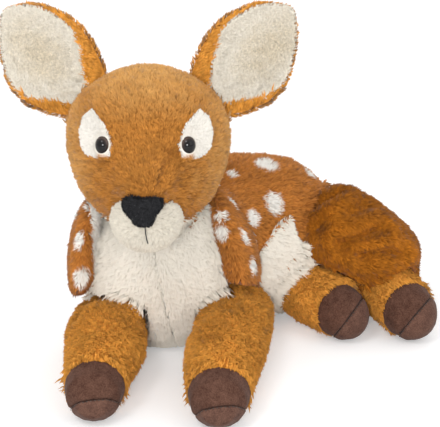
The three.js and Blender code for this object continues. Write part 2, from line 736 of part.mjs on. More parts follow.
// Ears: an oval leaf whose edges come forward, most of all at its root. Its mesh is rows by columns, and
// it is made from the root up to a share of its length
const wholeEar = { rows: earRows, columns: earColumns, upTo: 1 };
const earFoot = { rows: earRoomRows, columns: earRoomColumns, upTo: earRoomShare };
function earLeaf(ear, frontSide, backSide, widthShares, grow = 0, { rows, columns, upTo } = wholeEar) {
  const curveOf = (shares) => new THREE.CatmullRomCurve3(
    shares.map((share, i) => point(i / (shares.length - 1), share, 0)), false, 'catmullrom', 0.5);
  const [crownWidths, outerWidths] = earWidthShares.map(curveOf);
  const [crownInsets, outerInsets] = widthShares.map(curveOf);
  const seat = earSeat + grow;
  const length = earLength + seat;
  const ringAt = (share) => {
    const tip = quarterRound(endNearness((1 - share) * length, earTipRound));
    const halfOf = (widths, insets) =>
      (earWidth / 2) * widths.getPoint(share).y * insets.getPoint(share).y * tip + grow;
    const crownHalf = halfOf(crownWidths, crownInsets);
    const outerHalf = halfOf(outerWidths, outerInsets);
    const cup = earCup * (1 - earFlattenShare * share);
    const cornerAt = (offset, s) => {
      const half = s * ear.sign > 0 ? outerHalf : crownHalf;
      const curl = (s * half) / (earWidth / 2);
      return ear.root.clone()
        .addScaledVector(ear.along, share * length - seat)
        .addScaledVector(ear.side, s * half)
        .addScaledVector(ear.facing, cup * curl ** 2 + offset);
    };
    const steps = Array.from({ length: columns + 1 }, (_, i) => 1 - (2 * i) / columns);
    return [
      ...steps.map((s) => cornerAt(frontSide + grow, s)),
      ...steps.reverse().map((s) => cornerAt(-backSide - grow, s)),
    ];
  };
  const rings = Array.from({ length: rows + 1 }, (_, i) =>
    ringAt(upTo * Math.sin(((Math.PI / 2) * i) / (rows + 1))));
  const middle = ear.root.clone().addScaledVector(ear.facing, (frontSide - backSide) / 2);
  const first = middle.clone().addScaledVector(ear.along, -seat);
  const last = middle.clone().addScaledVector(ear.along, upTo * length - seat + grow);
  return solidOf(skinOver(first, rings, last));
}
function earOf(sign, leanAngle) {
  const lean = radians(sign * leanAngle);
  const back = radians(earTipBackAngle);
  const along = point(Math.sin(lean) * Math.cos(back), Math.sin(back), Math.cos(lean) * Math.cos(back));
  const facing = forward.clone().projectOnPlane(along).normalize()
    .applyAxisAngle(along, radians(-sign * earTwistAngle));
  const side = new THREE.Vector3().crossVectors(along, facing);
  const [x, y, z] = earInnerShares;
  const root = skinPoint(headBlank, onHead([sign * x, y, z]), along);
  const ear = { sign, root, along, facing, side };
  const front = earLiningLift + earLiningThickness;
  return {
    ...ear,
    leaf: earLeaf(ear, 0, earBackThickness, wholeWidthShares),
    lining: earLeaf(ear, front, -earLiningLift, liningWidthShares),
    rooms: turnedCopies(
      earLeaf(ear, front, earBackThickness, wholeWidthShares, passPlay, earFoot), root, side, earAngles),
  };
}
const leftEar = earOf(1, leftEarLeanAngle);
const rightEar = earOf(-1, rightEarLeanAngle);

// The head is cut from the throat up, and its cream jaw gusset from there down
const headRest = cut(
  headBlank, neckRoom, ...leftEar.rooms, ...rightEar.rooms, leftEye.room, rightEye.room);
const jawUpwards = uprightAxis.clone().applyAxisAngle(acrossAxis, radians(jawTiltAngle));
const [head, jawGusset] = halves(headRest, onHead([0, 0, jawRiseShare]), jawUpwards);

// The tail, whose top and underside meet in a seam along its edges
const heading = point(Math.cos(radians(tailHeadingAngle)), Math.sin(radians(tailHeadingAngle)), 0);
const rumpBlank = loft(rumpForm).intersect(aboveFloor);
const tailRoot = skinPoint(rumpBlank, onRump(tailInnerShares), heading).addScaledVector(heading, -tailSeat);
const tailForm = raisedForm(
  tailRoot, tailLength, tailWidth, tailHeight,
  tailShares.map(([out, z, w, h]) => [out * heading.x, out * heading.y, z, w, h]), tailRound, tailRound);
const tailSide = new THREE.Vector3().crossVectors(heading, uprightAxis);
const tailEnd = tailForm.spine[tailForm.spine.length - 1];
const tailUpwards = new THREE.Vector3().crossVectors(tailSide, tailEnd.clone().sub(tailRoot));
const [tailTop, tailUnderside] = halves(loft(tailForm), tailRoot, tailUpwards);
const tailRoom = turningRoom(tailForm, tailRoot, tailSide, tailAngles);

// The pellet pouch and its pocket in the torso, open behind the belly panel
const inTorso = ([x, y, z]) => point(x * torsoLength, y * torsoLength, z * torsoHeight);
const pouchCentre = inTorso(pouchPlaceShares);
const pouchOf = (grow) => ellipsoid(
  pouchCentre, pouchWidth + 2 * grow, pouchDepth + 2 * grow, pouchHeight + 2 * grow);
const pocket = pouchOf(seamGap).add(bar(pouchCentre, inTorso(pocketMouthPlaceShares), pocketMouthDiameter));

// The torso and what is sewn on it, each cut by the rooms of what turns in it and by the larger pieces
const forelegRooms = [leftForeleg.room, rightForeleg.room];
const hindlegRooms = [leftHindleg.room, rightHindleg.room];
const torso = cut(torsoSkin(0).intersect(aboveFloor), neckRoom, ...forelegRooms, ...hindlegRooms, pocket);
const torsoRoom = torsoSkin(seamGap);
const headCopies = turnedCopies(clearLoft(headForm, passPlay), neckCentre, uprightAxis, turnAngles)
  .flatMap((turned) => turnedCopies(turned, neckCentre, acrossAxis, nodAngles));
const upperForeleg = (form) => cut(loft(form), torsoRoom, neckRoom, ...headCopies, ...forelegRooms);
const leftUpperForeleg = upperForeleg(leftUpperForelegForm);
const rightUpperForeleg = upperForeleg(rightUpperForelegForm);
const rump = cut(rumpBlank, torsoRoom, ...hindlegRooms, tailRoom);
const rumpRoom = loft(rumpForm, seamGap);
const leftThigh = cut(loft(leftThighForm), torsoRoom, rumpRoom, ...hindlegRooms, tailRoom);

// Cream panels laid on the torso's skin inside an outline, up to the limbs' seams
const panelBlank = (outline, back) => upright(outline, -trimSize / 2, back)
  .intersect(torsoSkin(seamGap + panelThickness))
  .intersect(aboveFloor)
  .subtract(torsoRoom);
const flatPoint = ([x, z], width) => new THREE.Vector2(x * width, z * torsoHeight);
const bibBlank = cut(
  panelBlank(bibShares.map((share) => flatPoint(share, torsoWidth)), -bibBackShare * torsoLength),
  neckRoom, ...forelegRooms, loft(leftUpperForelegForm, seamGap), loft(rightUpperForelegForm, seamGap));
const [seamTop, seamFoot] = bibSeamShares.map((share) => flatPoint(share, torsoWidth));
const seamNormal = point(seamTop.y - seamFoot.y, 0, seamFoot.x - seamTop.x);
const [leftBib, rightBib] = halves(bibBlank, point(seamFoot.x, 0, seamFoot.y), seamNormal);
const bellyPanel = cut(
  panelBlank(bellyShares.map((share) => flatPoint(share, torsoLength)), pouchCentre.y),
  loft(leftUpperForelegForm, seamGap), ...forelegRooms, ...hindlegRooms,
  loft(leftThighForm, seamGap), rumpRoom);

// The assembly: a group for each body, with its pieces
const deer = addBody('torso', origin);
addBody('neck', neckCentre, 'torso');
addBody('head', neckCentre, 'neck');
addPiece('torso', 'torso', torso, spottedFur);
addPiece('rump', 'torso', rump, orangeFur);
addPiece('left_thigh', 'torso', leftThigh, orangeFur);
addPiece('left_upper_foreleg', 'torso', leftUpperForeleg, spottedFur);
addPiece('right_upper_foreleg', 'torso', rightUpperForeleg, spottedFur);
addPiece('left_bib_panel', 'torso', leftBib, creamFur);
addPiece('right_bib_panel', 'torso', rightBib, creamFur);
addPiece('belly_panel', 'torso', bellyPanel, creamFur);
addPiece('pellet_pouch', 'torso', pouchOf(0), pouchCloth);
addPiece('neck', 'neck', neck, creamFur);
addPiece('head', 'head', head, orangeFur);
addPiece('jaw_gusset', 'head', jawGusset, creamFur);
addPiece('muzzle', 'head', muzzle, creamFur);
addPiece('nose', 'head', nose, blackThread);
addPiece('mouth_stitch', 'head', mouth, blackThread);
for (const [name, eye] of Object.entries({ left: leftEye, right: rightEye })) {
  addPiece(`${name}_eye`, 'head', eye.eye, eyePlastic);
  addPiece(`${name}_eye_washer`, 'head', eye.washer, washerPlastic);
  addPiece(`${name}_eye_patch`, 'head', eye.patch, creamFur);
}
for (const [name, ear] of Object.entries({ left: leftEar, right: rightEar })) {
  addBody(`${name}_ear`, ear.root, 'head');
  addPiece(`${name}_ear_back`, `${name}_ear`, ear.leaf, orangeFur);
  addPiece(`${name}_ear_lining`, `${name}_ear`, ear.lining, liningFur);
}
const legs = {
  left_foreleg: [leftForeleg, 'left_fore_hoof'],
  right_foreleg: [rightForeleg, 'right_fore_hoof'],
  left_hindleg: [leftHindleg, 'left_hind_hoof'],
  right_hindleg: [rightHindleg, 'right_hind_hoof'],
};
for (const [name, [leg, hoofName]] of Object.entries(legs)) {
  addBody(name, leg.pivot, 'torso');
  addPiece(name, name, leg.shank, orangeFur);
  addPiece(`${hoofName}_upper`, name, leg.hoofUpper, hoofSuede);
  addPiece(`${hoofName}_sole`, name, leg.hoofSole, hoofSoleSuede);
}
addBody('tail', tailRoot, 'torso');
addPiece('tail_top', 'tail', tailTop, orangeFur);
addPiece('tail_underside', 'tail', tailUnderside, creamFur);

export default deer;
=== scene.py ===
import math

import bmesh
import bpy
import numpy as np
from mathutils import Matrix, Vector


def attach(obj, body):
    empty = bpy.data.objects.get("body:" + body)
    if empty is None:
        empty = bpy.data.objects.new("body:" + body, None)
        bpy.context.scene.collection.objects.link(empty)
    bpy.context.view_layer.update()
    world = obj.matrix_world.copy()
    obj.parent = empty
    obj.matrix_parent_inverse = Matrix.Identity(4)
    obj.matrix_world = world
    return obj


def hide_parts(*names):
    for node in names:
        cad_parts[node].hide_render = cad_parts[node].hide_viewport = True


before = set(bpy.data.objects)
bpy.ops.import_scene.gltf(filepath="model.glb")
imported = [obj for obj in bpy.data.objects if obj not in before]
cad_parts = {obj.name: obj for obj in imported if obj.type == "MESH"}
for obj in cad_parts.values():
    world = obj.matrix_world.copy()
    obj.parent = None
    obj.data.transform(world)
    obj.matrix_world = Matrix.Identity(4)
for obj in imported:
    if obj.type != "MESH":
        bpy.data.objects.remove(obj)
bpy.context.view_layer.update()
scene = bpy.context.scene


# Studio: a white table under a large soft lamp and pale surroundings, and a camera 20 degrees above the
# table and 1.4 m away. The table and the surroundings are white to the camera and in reflections.
def dye(code):
    """The linear colour of a colour that is written as six hex digits."""
    shares = np.array([int(code[i : i + 2], 16) for i in (0, 2, 4)]) / 255
    linear = np.where(shares > 0.04045, ((shares + 0.055) / 1.055) ** 2.4, shares / 12.92)
    return (*linear.tolist(), 1)


def add_node(tree, kind, inputs=(), **settings):
    """A shader node with its settings, whose named inputs get plain values or links from other sockets."""
    node = tree.nodes.new("ShaderNode" + kind)
    for name, value in settings.items():
        setattr(node, name, value)
    for name, value in dict(inputs).items():
        if isinstance(value, bpy.types.NodeSocket):
            tree.links.new(value, node.inputs[name])
        else:
            node.inputs[name].default_value = value
    return node


def calc(tree, operation, *values):
    """One step of arithmetic on sockets and numbers."""
    return add_node(tree, "Math", enumerate(values), operation=operation).outputs[0]


def blank_material(name):
    """A new material and its node tree, still empty."""
    material = bpy.data.materials.new(name)
    material.use_nodes = True
    material.node_tree.nodes.clear()
    return material, material.node_tree


def seen_or_mirrored(tree):
    """1 on rays from the camera, on reflections and through glass, and 0 on rays that light the toy."""
    rays = add_node(tree, "LightPath").outputs
    either = calc(tree, "MAXIMUM", rays["Is Camera Ray"], rays["Is Glossy Ray"])
    return calc(tree, "MAXIMUM", either, rays["Is Transmission Ray"])


scene.view_settings.view_transform = "Standard"
camera = bpy.data.objects.new("camera", bpy.data.cameras.new("camera"))
camera.data.lens = 125
camera.data.sensor_width = 36
camera.data.sensor_fit = "HORIZONTAL"
camera.data.clip_start = 0.1
camera.data.clip_end = 20
camera.location = (0.035, -1.3656, 0.6088)  # 1.4 m from (0.035, -0.05, 0.13), the middle of the view
camera.rotation_euler = (math.radians(70), 0, 0)
scene.collection.objects.link(camera)
scene.camera = camera

surroundings = bpy.data.worlds.new("surroundings")
scene.world = surroundings
surroundings.use_nodes = True
surroundings.node_tree.nodes.clear()
sky = surroundings.node_tree
add_node(sky, "OutputWorld", {"Surface": add_node(sky, "MixShader", {
    0: seen_or_mirrored(sky),
    1: add_node(sky, "Background", {"Color": (1, 1, 1, 1), "Strength": 0.8}).outputs[0],
    2: add_node(sky, "Background", {"Color": (1, 1, 1, 1), "Strength": 1}).outputs[0],
}).outputs[0]})

table_side = 8
table = bpy.data.objects.new("table", bpy.data.meshes.new("table"))
table.data.from_pydata(
    [(x * table_side / 2, y * table_side / 2, 0) for x, y in ((-1, -1), (1, -1), (1, 1), (-1, 1))],
    [], [(0, 1, 2, 3)])
table_white, tree = blank_material("white table")
matt = add_node(tree, "BsdfPrincipled", {
    "Base Color": (0.82, 0.82, 0.82, 1), "Roughness": 1, "Specular IOR Level": 0}).outputs[0]
lift = add_node(tree, "Emission", {"Strength": 0.3}).outputs[0]
lifted = add_node(tree, "AddShader", {0: matt, 1: lift}).outputs[0]
seen = add_node(tree, "MixShader", {0: seen_or_mirrored(tree), 1: matt, 2: lifted}).outputs[0]
add_node(tree, "OutputMaterial", {"Surface": seen})
table.data.materials.append(table_white)
scene.collection.objects.link(table)

toy_middle = Vector((0.04, 0, 0.12))
for name, power, side, place in (
    ("key lamp", 9.2, 0.6, (-0.7, -1.3, 1.9)),
    ("front lamp", 15.5, 0.45, (-0.15, -2.0, 0.72)),
    ("fill lamp", 6.2, 1.6, (1.7, -1.1, 1.2)),
    ("back lamp", 8, 1.4, (0.6, 1.8, 1.6)),
):
    lamp = bpy.data.objects.new(name, bpy.data.lights.new(name, "AREA"))
    lamp.data.energy, lamp.data.size = power, side
    lamp.location = place
    lamp.rotation_euler = (toy_middle - lamp.location).to_track_quat("-Z", "Y").to_euler()
    scene.collection.objects.link(lamp)


# Torso: a bag of red-brown plush with airbrushed white spots, sewn from a back and two flank panels and
# stuffed with polyester. Its pile is 7 mm long, combed back and down, and hides the cloth.
def read(rows, name, width=3):
    """One property of all of a mesh's rows, as an array with a line for each row."""
    values = np.empty(len(rows) * width, np.float32)
    rows.foreach_get(name, values)
    return values.reshape(-1, width).astype(float)


def unit(ways):
    """Each way made one long."""
    return ways / np.maximum(np.linalg.norm(ways, axis=-1, keepdims=True), 1e-9)


def wander(places, size, seed):
    """A smooth value for each place that wanders between about -1 and 1: the sum of sines along twelve
    random directions, whose crests lie about `size` apart."""
    rng = np.random.default_rng(seed)
    waves = unit(rng.normal(size=(12, 3))) * (2 * math.pi / size) * rng.uniform(0.7, 1.4, (12, 1))
    return np.sin(places @ waves.T + rng.uniform(0, 2 * math.pi, 12)).mean(1) * 2.4


def settled(piece):
    """The piece with its modifiers worked into its mesh."""
    mesh = bpy.data.meshes.new_from_object(piece.evaluated_get(bpy.context.evaluated_depsgraph_get()))
    piece.modifiers.clear()
    old, piece.data = piece.data, mesh
    bpy.data.meshes.remove(old)
    mesh.name = piece.name
    return piece


def surface(name, places, faces, material):
    """A smooth object whose mesh has these places and faces, given as whole arrays."""
    mesh = bpy.data.meshes.new(name)
    mesh.vertices.add(len(places))
    mesh.vertices.foreach_set("co", np.asarray(places, np.float32).ravel())
    mesh.loops.add(faces.size)
    mesh.loops.foreach_set("vertex_index", np.asarray(faces, np.int32).ravel())
    mesh.polygons.add(len(faces))
    mesh.polygons.foreach_set("loop_start", np.arange(0, faces.size, faces.shape[1], dtype=np.int32))
    mesh.update(calc_edges=True)
    mesh.shade_smooth()
    piece = bpy.data.objects.new(name, mesh)
    scene.collection.objects.link(piece)
    if material:
        mesh.materials.append(material)
    return piece


# The lines of sight that tell which tufts have room to stand run through the solids of the other nodes
solids = {}
for name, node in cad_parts.items():
    node.data.calc_loop_triangles()
    solids[name] = (
        read(node.data.vertices, "co"), read(node.data.loop_triangles, "vertices").astype(int))
line_of_sight = bpy.data.node_groups.new("line of sight", "GeometryNodeTree")
line_of_sight.interface.new_socket("Geometry", in_out="INPUT", socket_type="NodeSocketGeometry")
line_of_sight.interface.new_socket("Geometry", in_out="OUTPUT", socket_type="NodeSocketGeometry")
roots_in = line_of_sight.nodes.new("NodeGroupInput")
roots_out = line_of_sight.nodes.new("NodeGroupOutput")
neighbours = line_of_sight.nodes.new("GeometryNodeObjectInfo")
way_read = line_of_sight.nodes.new("GeometryNodeInputNamedAttribute")
way_read.data_type = "FLOAT_VECTOR"
way_read.inputs["Name"].default_value = "way"
ray = line_of_sight.nodes.new("GeometryNodeRaycast")
hit_or_far = line_of_sight.nodes.new("GeometryNodeSwitch")
hit_or_far.input_type = "FLOAT"
hit_or_far.inputs["False"].default_value = 1
room_kept = line_of_sight.nodes.new("GeometryNodeStoreNamedAttribute")
room_kept.data_type, room_kept.domain = "FLOAT", "POINT"
room_kept.inputs["Name"].default_value = "room"
for start, end in (
    (roots_in.outputs[0], room_kept.inputs["Geometry"]),
    (neighbours.outputs["Geometry"], ray.inputs["Target Geometry"]),
    (way_read.outputs["Attribute"], ray.inputs["Ray Direction"]),
    (ray.outputs["Is Hit"], hit_or_far.inputs["Switch"]),
    (ray.outputs["Hit Distance"], hit_or_far.inputs["True"]),
    (hit_or_far.outputs[0], room_kept.inputs["Value"]),
    (room_kept.outputs[0], roots_out.inputs[0]),
):
    line_of_sight.links.new(start, end)


def room_over(places, ways, own, reach=0.03):
    """How far a line from each place runs along its way before it meets another node's solid. It is 1 where
    nothing lies within reach."""
    others = [solids[name] for name in solids if name not in own]
    starts = np.cumsum([0] + [len(points) for points, _ in others])
    target = surface(
        "neighbours", np.concatenate([points for points, _ in others]),
        np.concatenate([faces + start for (_, faces), start in zip(others, starts)]), None)
    sources = bpy.data.objects.new("sources", bpy.data.meshes.new("sources"))
    sources.data.vertices.add(len(places))
    sources.data.vertices.foreach_set("co", places.astype(np.float32).ravel())
    sources.data.attributes.new("way", "FLOAT_VECTOR", "POINT").data.foreach_set(
        "vector", ways.astype(np.float32).ravel())
    scene.collection.objects.link(sources)
    neighbours.inputs["Object"].default_value = target
    ray.inputs["Ray Length"].default_value = reach
    sources.modifiers.new("sight", "NODES").node_group = line_of_sight
    seen = sources.evaluated_get(bpy.context.evaluated_depsgraph_get()).data
    room = read(seen.attributes["room"].data, "value", 1)[:, 0]
    neighbours.inputs["Object"].default_value = None
    for piece in (sources, target):
        mesh = piece.data
        bpy.data.objects.remove(piece)
        bpy.data.meshes.remove(mesh)
    return room


def spread(values, ends, times):
    """Values that belong to a mesh's vertices, averaged along its edges several times over."""
    count = np.maximum(np.bincount(ends.ravel(), minlength=len(values)), 1)
    for _ in range(times):
        sums = np.bincount(ends[:, 0], values[ends[:, 1]], len(values))
        sums += np.bincount(ends[:, 1], values[ends[:, 0]], len(values))
        values = (values + sums / count) / 2
    return values


def off_path(places, path):
    """How far each place lies from a line through the path's points."""
    path = np.asarray(path)
    starts, runs = path[:-1], np.diff(path, axis=0)
    share = ((places[:, None] - starts) * runs).sum(2) / (runs**2).sum(1)
    feet = starts + np.clip(share, 0, 1)[..., None] * runs
    return np.linalg.norm(places[:, None] - feet, axis=2).min(1)


def note(mesh, **notes):
    """Keeps a value for each vertex under each word, for the dyes to read."""
    for word, values in notes.items():
        mesh.attributes.new(word, "FLOAT", "POINT").data.foreach_set(
            "value", (values + np.zeros(len(mesh.vertices))).astype(np.float32))


floor_gap = 0.0002  # how near cloth and tufts come to the table


def sewn_bag(name, node, body, material, inset, weave=0.005, ease=10, swell=0.002,
             folds=(), marks=None):
    """The stuffed cloth under a node's pile. An even mesh is wrapped round the node's solid and eased
    smooth, and every point moves inwards along its normal by the pile's depth, but not on the floor, and
    less where a neighbour is near, so that pieces still press on each other there. Cloth pressure swells
    it by `swell` at most. Each fold is a path that the cloth sinks in along, with a depth and a width, and
    its banks rise a third of that. With a negative depth the cloth rises instead. A fold may end with a
    way of its own, which the cloth moves against, so that a thin leaf keeps its thickness. A subdivision
    rounds the coarser weaves."""
    weld, look_back, coarse_weave = 1e-5, 0.003, 0.0025
    pressed_room, free_room, pressed_share = 0.001, 0.008, 0.04  # the inset's least share, and where it grows
    floor_zone, facing_down = 0.003, -0.5
    bank_height, bank_distance = 0.33, 2  # of a fold, in its depths and widths
    pressure, moments = 4, 20
    bag = bpy.data.objects.new(name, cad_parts[node].data.copy())
    scene.collection.objects.link(bag)
    welded = bmesh.new()
    welded.from_mesh(bag.data)
    bmesh.ops.remove_doubles(welded, verts=welded.verts, dist=weld)
    welded.to_mesh(bag.data)
    welded.free()
    wrap = bag.modifiers.new("wrap", "REMESH")
    wrap.mode, wrap.voxel_size = "VOXEL", weave
    eased = bag.modifiers.new("ease", "SMOOTH")
    eased.factor, eased.iterations = 0.5, ease
    settled(bag)
    places, ways = read(bag.data.vertices, "co"), read(bag.data.vertex_normals, "vector")
    ends = read(bag.data.edges, "vertices", 2).astype(int)
    room = room_over(places - look_back * ways, ways, (node,)) - look_back
    share = np.clip((room - pressed_room) / free_room, pressed_share, 1)
    step = spread(inset * share, ends, 3)[:, None] * -ways
    step[(places[:, 2] < floor_zone) & (ways[:, 2] < facing_down), 2] = 0

    def moved(by):
        """Moves the bag's places, and keeps them over the table."""
        places[:] += by
        places[:, 2] = np.maximum(places[:, 2], floor_gap)
        bag.data.vertices.foreach_set("co", places.astype(np.float32).ravel())

    moved(step)
    if swell:
        stuffing = bag.modifiers.new("stuffing", "CLOTH")
        stuffing.settings.use_pressure = True
        stuffing.settings.uniform_pressure_force = pressure
        stuffing.settings.effector_weights.gravity = 0
        for moment in range(1, moments + 1):
            scene.frame_set(moment)
        blown = read(bag.evaluated_get(bpy.context.evaluated_depsgraph_get()).data.vertices, "co")
        scene.frame_set(1)
        bag.modifiers.clear()
        shift = blown - places
        far = np.maximum(np.linalg.norm(shift, axis=1, keepdims=True), 1e-9)
        moved(shift * np.minimum(1, swell / far))
    if weave > coarse_weave:
        bag.modifiers.new("round", "SUBSURF").levels = 1
        bag.modifiers["round"].render_levels = 1
        settled(bag)
    places, ways = read(bag.data.vertices, "co"), read(bag.data.vertex_normals, "vector")
    for depth, width, path, *way in folds:
        away = off_path(places + inset * ways, path) / width
        rise = depth * (bank_height * np.exp(-((away - bank_distance) ** 2)) - np.exp(-(away**2)))
        moved(rise[:, None] * (way[0] if way else ways))
    bag.data.shade_smooth()
    bag.data.materials.clear()
    bag.data.materials.append(material)
    note(bag.data, along=0.55, tone=0.5, mark=marks(places) if marks else 0)
    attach(bag, body)
    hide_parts(node)
    return bag


def strewn(bag, per_mm2, rng):
    """Roots strewn evenly over a bag's faces, by area, and the way that the bag faces at each: a triangle is
    drawn with its area as the chance, and a place in it by the square root rule."""
    bag.data.calc_loop_triangles()
    corners = read(bag.data.loop_triangles, "vertices").astype(int)
    places, ways = read(bag.data.vertices, "co")[corners], read(bag.data.vertex_normals, "vector")[corners]
    areas = np.linalg.norm(np.cross(places[:, 1] - places[:, 0], places[:, 2] - places[:, 0]), axis=1) / 2
    count = int(per_mm2 * 1e6 * areas.sum())
    at = np.searchsorted(np.cumsum(areas), (np.arange(count) + rng.random(count)) / count * areas.sum())
    at = np.minimum(at, len(areas) - 1)
    a, b = np.sqrt(rng.random(count)), rng.random(count)
    shares = np.stack([1 - a, a * (1 - b), a * b], 1)[..., None]
    return (places[at] * shares).sum(1), unit((ways[at] * shares).sum(1))


def blades(name, points, shade, material):
    """A mesh of slim closed blades, from the root, two middle points and tip of each, and from their shading
    normals. A blade's two front faces meet across it, and its two back faces along it. On the UV map it has
    a square cell of its own, which a front and a back face share by halves."""
    count = len(points)
    sides = np.array([[0, 2, 1], [1, 2, 3], [0, 1, 3], [0, 3, 2]])
    faces = (4 * np.arange(count)[:, None, None] + sides).reshape(-1, 3)
    piece = surface(name, points.reshape(-1, 3), faces, material)
    piece.data.normals_split_custom_set_from_vertices(shade.reshape(-1, 3).astype(np.float32))
    cells = math.ceil(math.sqrt(count))
    cell = np.stack([np.arange(count) % cells, np.arange(count) // cells], 1)[:, None, None]
    corner = np.array([(0.5, 0.05), (0.05, 0.5), (0.95, 0.5), (0.5, 0.95)])
    low, high = corner[[0, 2, 1]], corner[[1, 2, 3]]
    spots = np.broadcast_to(cell + np.stack([low, high, low, high]), (count, 4, 3, 2)) / cells
    piece.data.uv_layers.new(name="OFBake").data.foreach_set("uv", spots.astype(np.float32).ravel())
    return piece


front = np.array([-0.1, -0.9, 0.4])  # the fixed way that glow turns a pile's shading to


def pile(name, bag, node, body, material, comb, length, lean=50, per_mm2=0.85, thick=0.0012,
         unruly=0.3, curl=0.6, seed=1, marks=None, fringe=0.003, parting=(), clear=(), relief=0.4, lock=0.007,
         glow=0.25):
    """The tufts that stand on a bag. Each is a slim blade, widest past its middle. It stands up first and
    then leans over, from the surface's normal towards the comb's way, which is fixed or a function of the
    place, and which wanders from place to place, so that neighbours gather in locks. Tufts with no room
    over them are left out, those combed towards a neighbouring piece lie flatter and hang over its seam by
    the fringe, those near a parting's path are short, and those that would reach into a node of `clear`
    end before it. A blade shades like the surface that it stands on, as dense pile does, with a relief of
    locks. Glow turns that shading towards a fixed way, the toy's front, and so evens it out there."""
    least_room, free_room, squeezed = 0.0026, 0.010, 0.5
    table_zone, facing_down = 0.002, -0.3
    broad_lock, broad_curl, tilt_sway = 0.045, 0.35, 0.12
    length_lock, length_sway = 0.012, 0.1
    length_range, thick_range, fringe_range = (0.78, 1.12), (0.75, 1.25), (0.75, 1.15)
    seam_reach, seam_lift, seam_zone, seam_tilt, seam_share = 0.012, 0.002, 0.01, 1.15, 0.7
    parted, clear_share, least_long = 0.8, 0.85, 0.0008
    rooted, widest, upright, edge_turn = 0.0006, 0.6, 0.3, 0.15
    dye_heights = [0.2, 0.65, 0.65, 1.0]  # of a blade's root, middle points and tip
    rng = np.random.default_rng(seed)
    root, up = strewn(bag, per_mm2, rng)
    room = room_over(root, up, (node,))
    wanted = (room > least_room) & ((root[:, 2] > table_zone) | (up[:, 2] > facing_down))
    root, up, room = root[wanted], up[wanted], room[wanted]
    count = len(root)

    def sway(size, number):
        """A value for each tuft that wanders from one lock to the next."""
        return wander(root, size, seed * 7 + number)[:, None]

    flow = comb(root) if callable(comb) else np.broadcast_to(comb, root.shape)
    along = unit(flow - (flow * up).sum(1, keepdims=True) * up)
    across = np.cross(up, along)
    side = across * (curl * sway(lock, 0) + broad_curl * sway(broad_lock, 3))
    tilt = np.radians(lean * (1 + tilt_sway * sway(lock, 1)))
    long = length * rng.uniform(*length_range, (count, 1)) * (1 + length_sway * sway(length_lock, 4))
    long *= np.clip(room[:, None] / free_room, squeezed, 1)
    if fringe:
        near = room_over(root + seam_lift * up, along, (node,), seam_reach)[:, None]
        tilt += (near < seam_zone) * (seam_tilt - tilt) * seam_share
        over_seam = (near + fringe) * rng.uniform(*fringe_range, (count, 1)) / np.sin(tilt)
        long = np.where(near < seam_zone, np.maximum(long, over_seam), long)
    way = unit(np.cos(tilt) * up + np.sin(tilt) * unit(along + side) + rng.normal(0, unruly / 2, (count, 3)))
    over = root + math.cos(math.radians(lean)) * length * up
    for width, path in parting:
        long *= 1 - parted * np.exp(-((off_path(over, path)[:, None] / width) ** 2))
    if clear:
        free = room_over(root, way, [other for other in solids if other not in clear])
        long = np.minimum(long, np.maximum(clear_share * free[:, None], least_long))
    tip = root + way * long
    tip[:, 2] = np.maximum(tip[:, 2], 2 * floor_gap)
    middle = root + widest * long * unit(way + upright * up)
    aside = unit(np.cross(way, up + 1e-3)) * thick / 2 * rng.uniform(*thick_range, (count, 1))
    points = np.stack([root - rooted * up, middle - aside, middle + aside, tip], 1)
    points[..., 2] = np.maximum(points[..., 2], floor_gap)
    bumps = relief * sway(0.9 * lock, 5) * along, relief * sway(0.9 * lock, 6) * across
    up = unit(up + bumps[0] + bumps[1] + glow * front)
    aside = edge_turn * unit(aside)
    shade = np.stack([up, unit(up - aside), unit(up + aside), unit(up + edge_turn * way)], 1)
    piece = blades(name, points, shade, material)
    tone = np.clip(0.5 + 0.3 * wander(root, 0.8 * lock, seed) + rng.uniform(-0.2, 0.2, count), 0, 1)
    note(piece.data, along=np.tile(dye_heights, count), tone=np.repeat(tone, 4),
         mark=np.stack(3 * [marks(over)] + [marks(tip)], 1).ravel() if marks else 0)
    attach(piece, body)
    return piece


def group_of(name, inputs, outputs):
    """A shader node group with named sockets, and its input and output nodes."""
    tree = bpy.data.node_groups.new(name, "ShaderNodeTree")
    for in_out, sockets in (("INPUT", inputs), ("OUTPUT", outputs)):
        for socket, (kind, value) in sockets.items():
            made = tree.interface.new_socket(socket, in_out=in_out, socket_type="NodeSocket" + kind)
            if in_out == "INPUT":
                made.default_value = value
    return tree, tree.nodes.new("NodeGroupInput").outputs, tree.nodes.new("NodeGroupOutput").inputs


def mixed(tree, share, low, high):
    """A colour from low to high, as the share goes from 0 to 1."""
    return add_node(tree, "Mix", {0: share, 6: low, 7: high}, data_type="RGBA").outputs[2]


def pattern(tree, kind, inputs, output="Fac", **settings):
    """The value of a pattern on Object coordinates."""
    place = add_node(tree, "TexCoord").outputs["Object"]
    return add_node(tree, kind, {"Vector": place, **inputs}, **settings).outputs[output]


def finish(tree, inputs):
    """Ends a material's tree with a Principled surface that has these inputs."""
    add_node(tree, "OutputMaterial", {"Surface": add_node(tree, "BsdfPrincipled", inputs).outputs[0]})


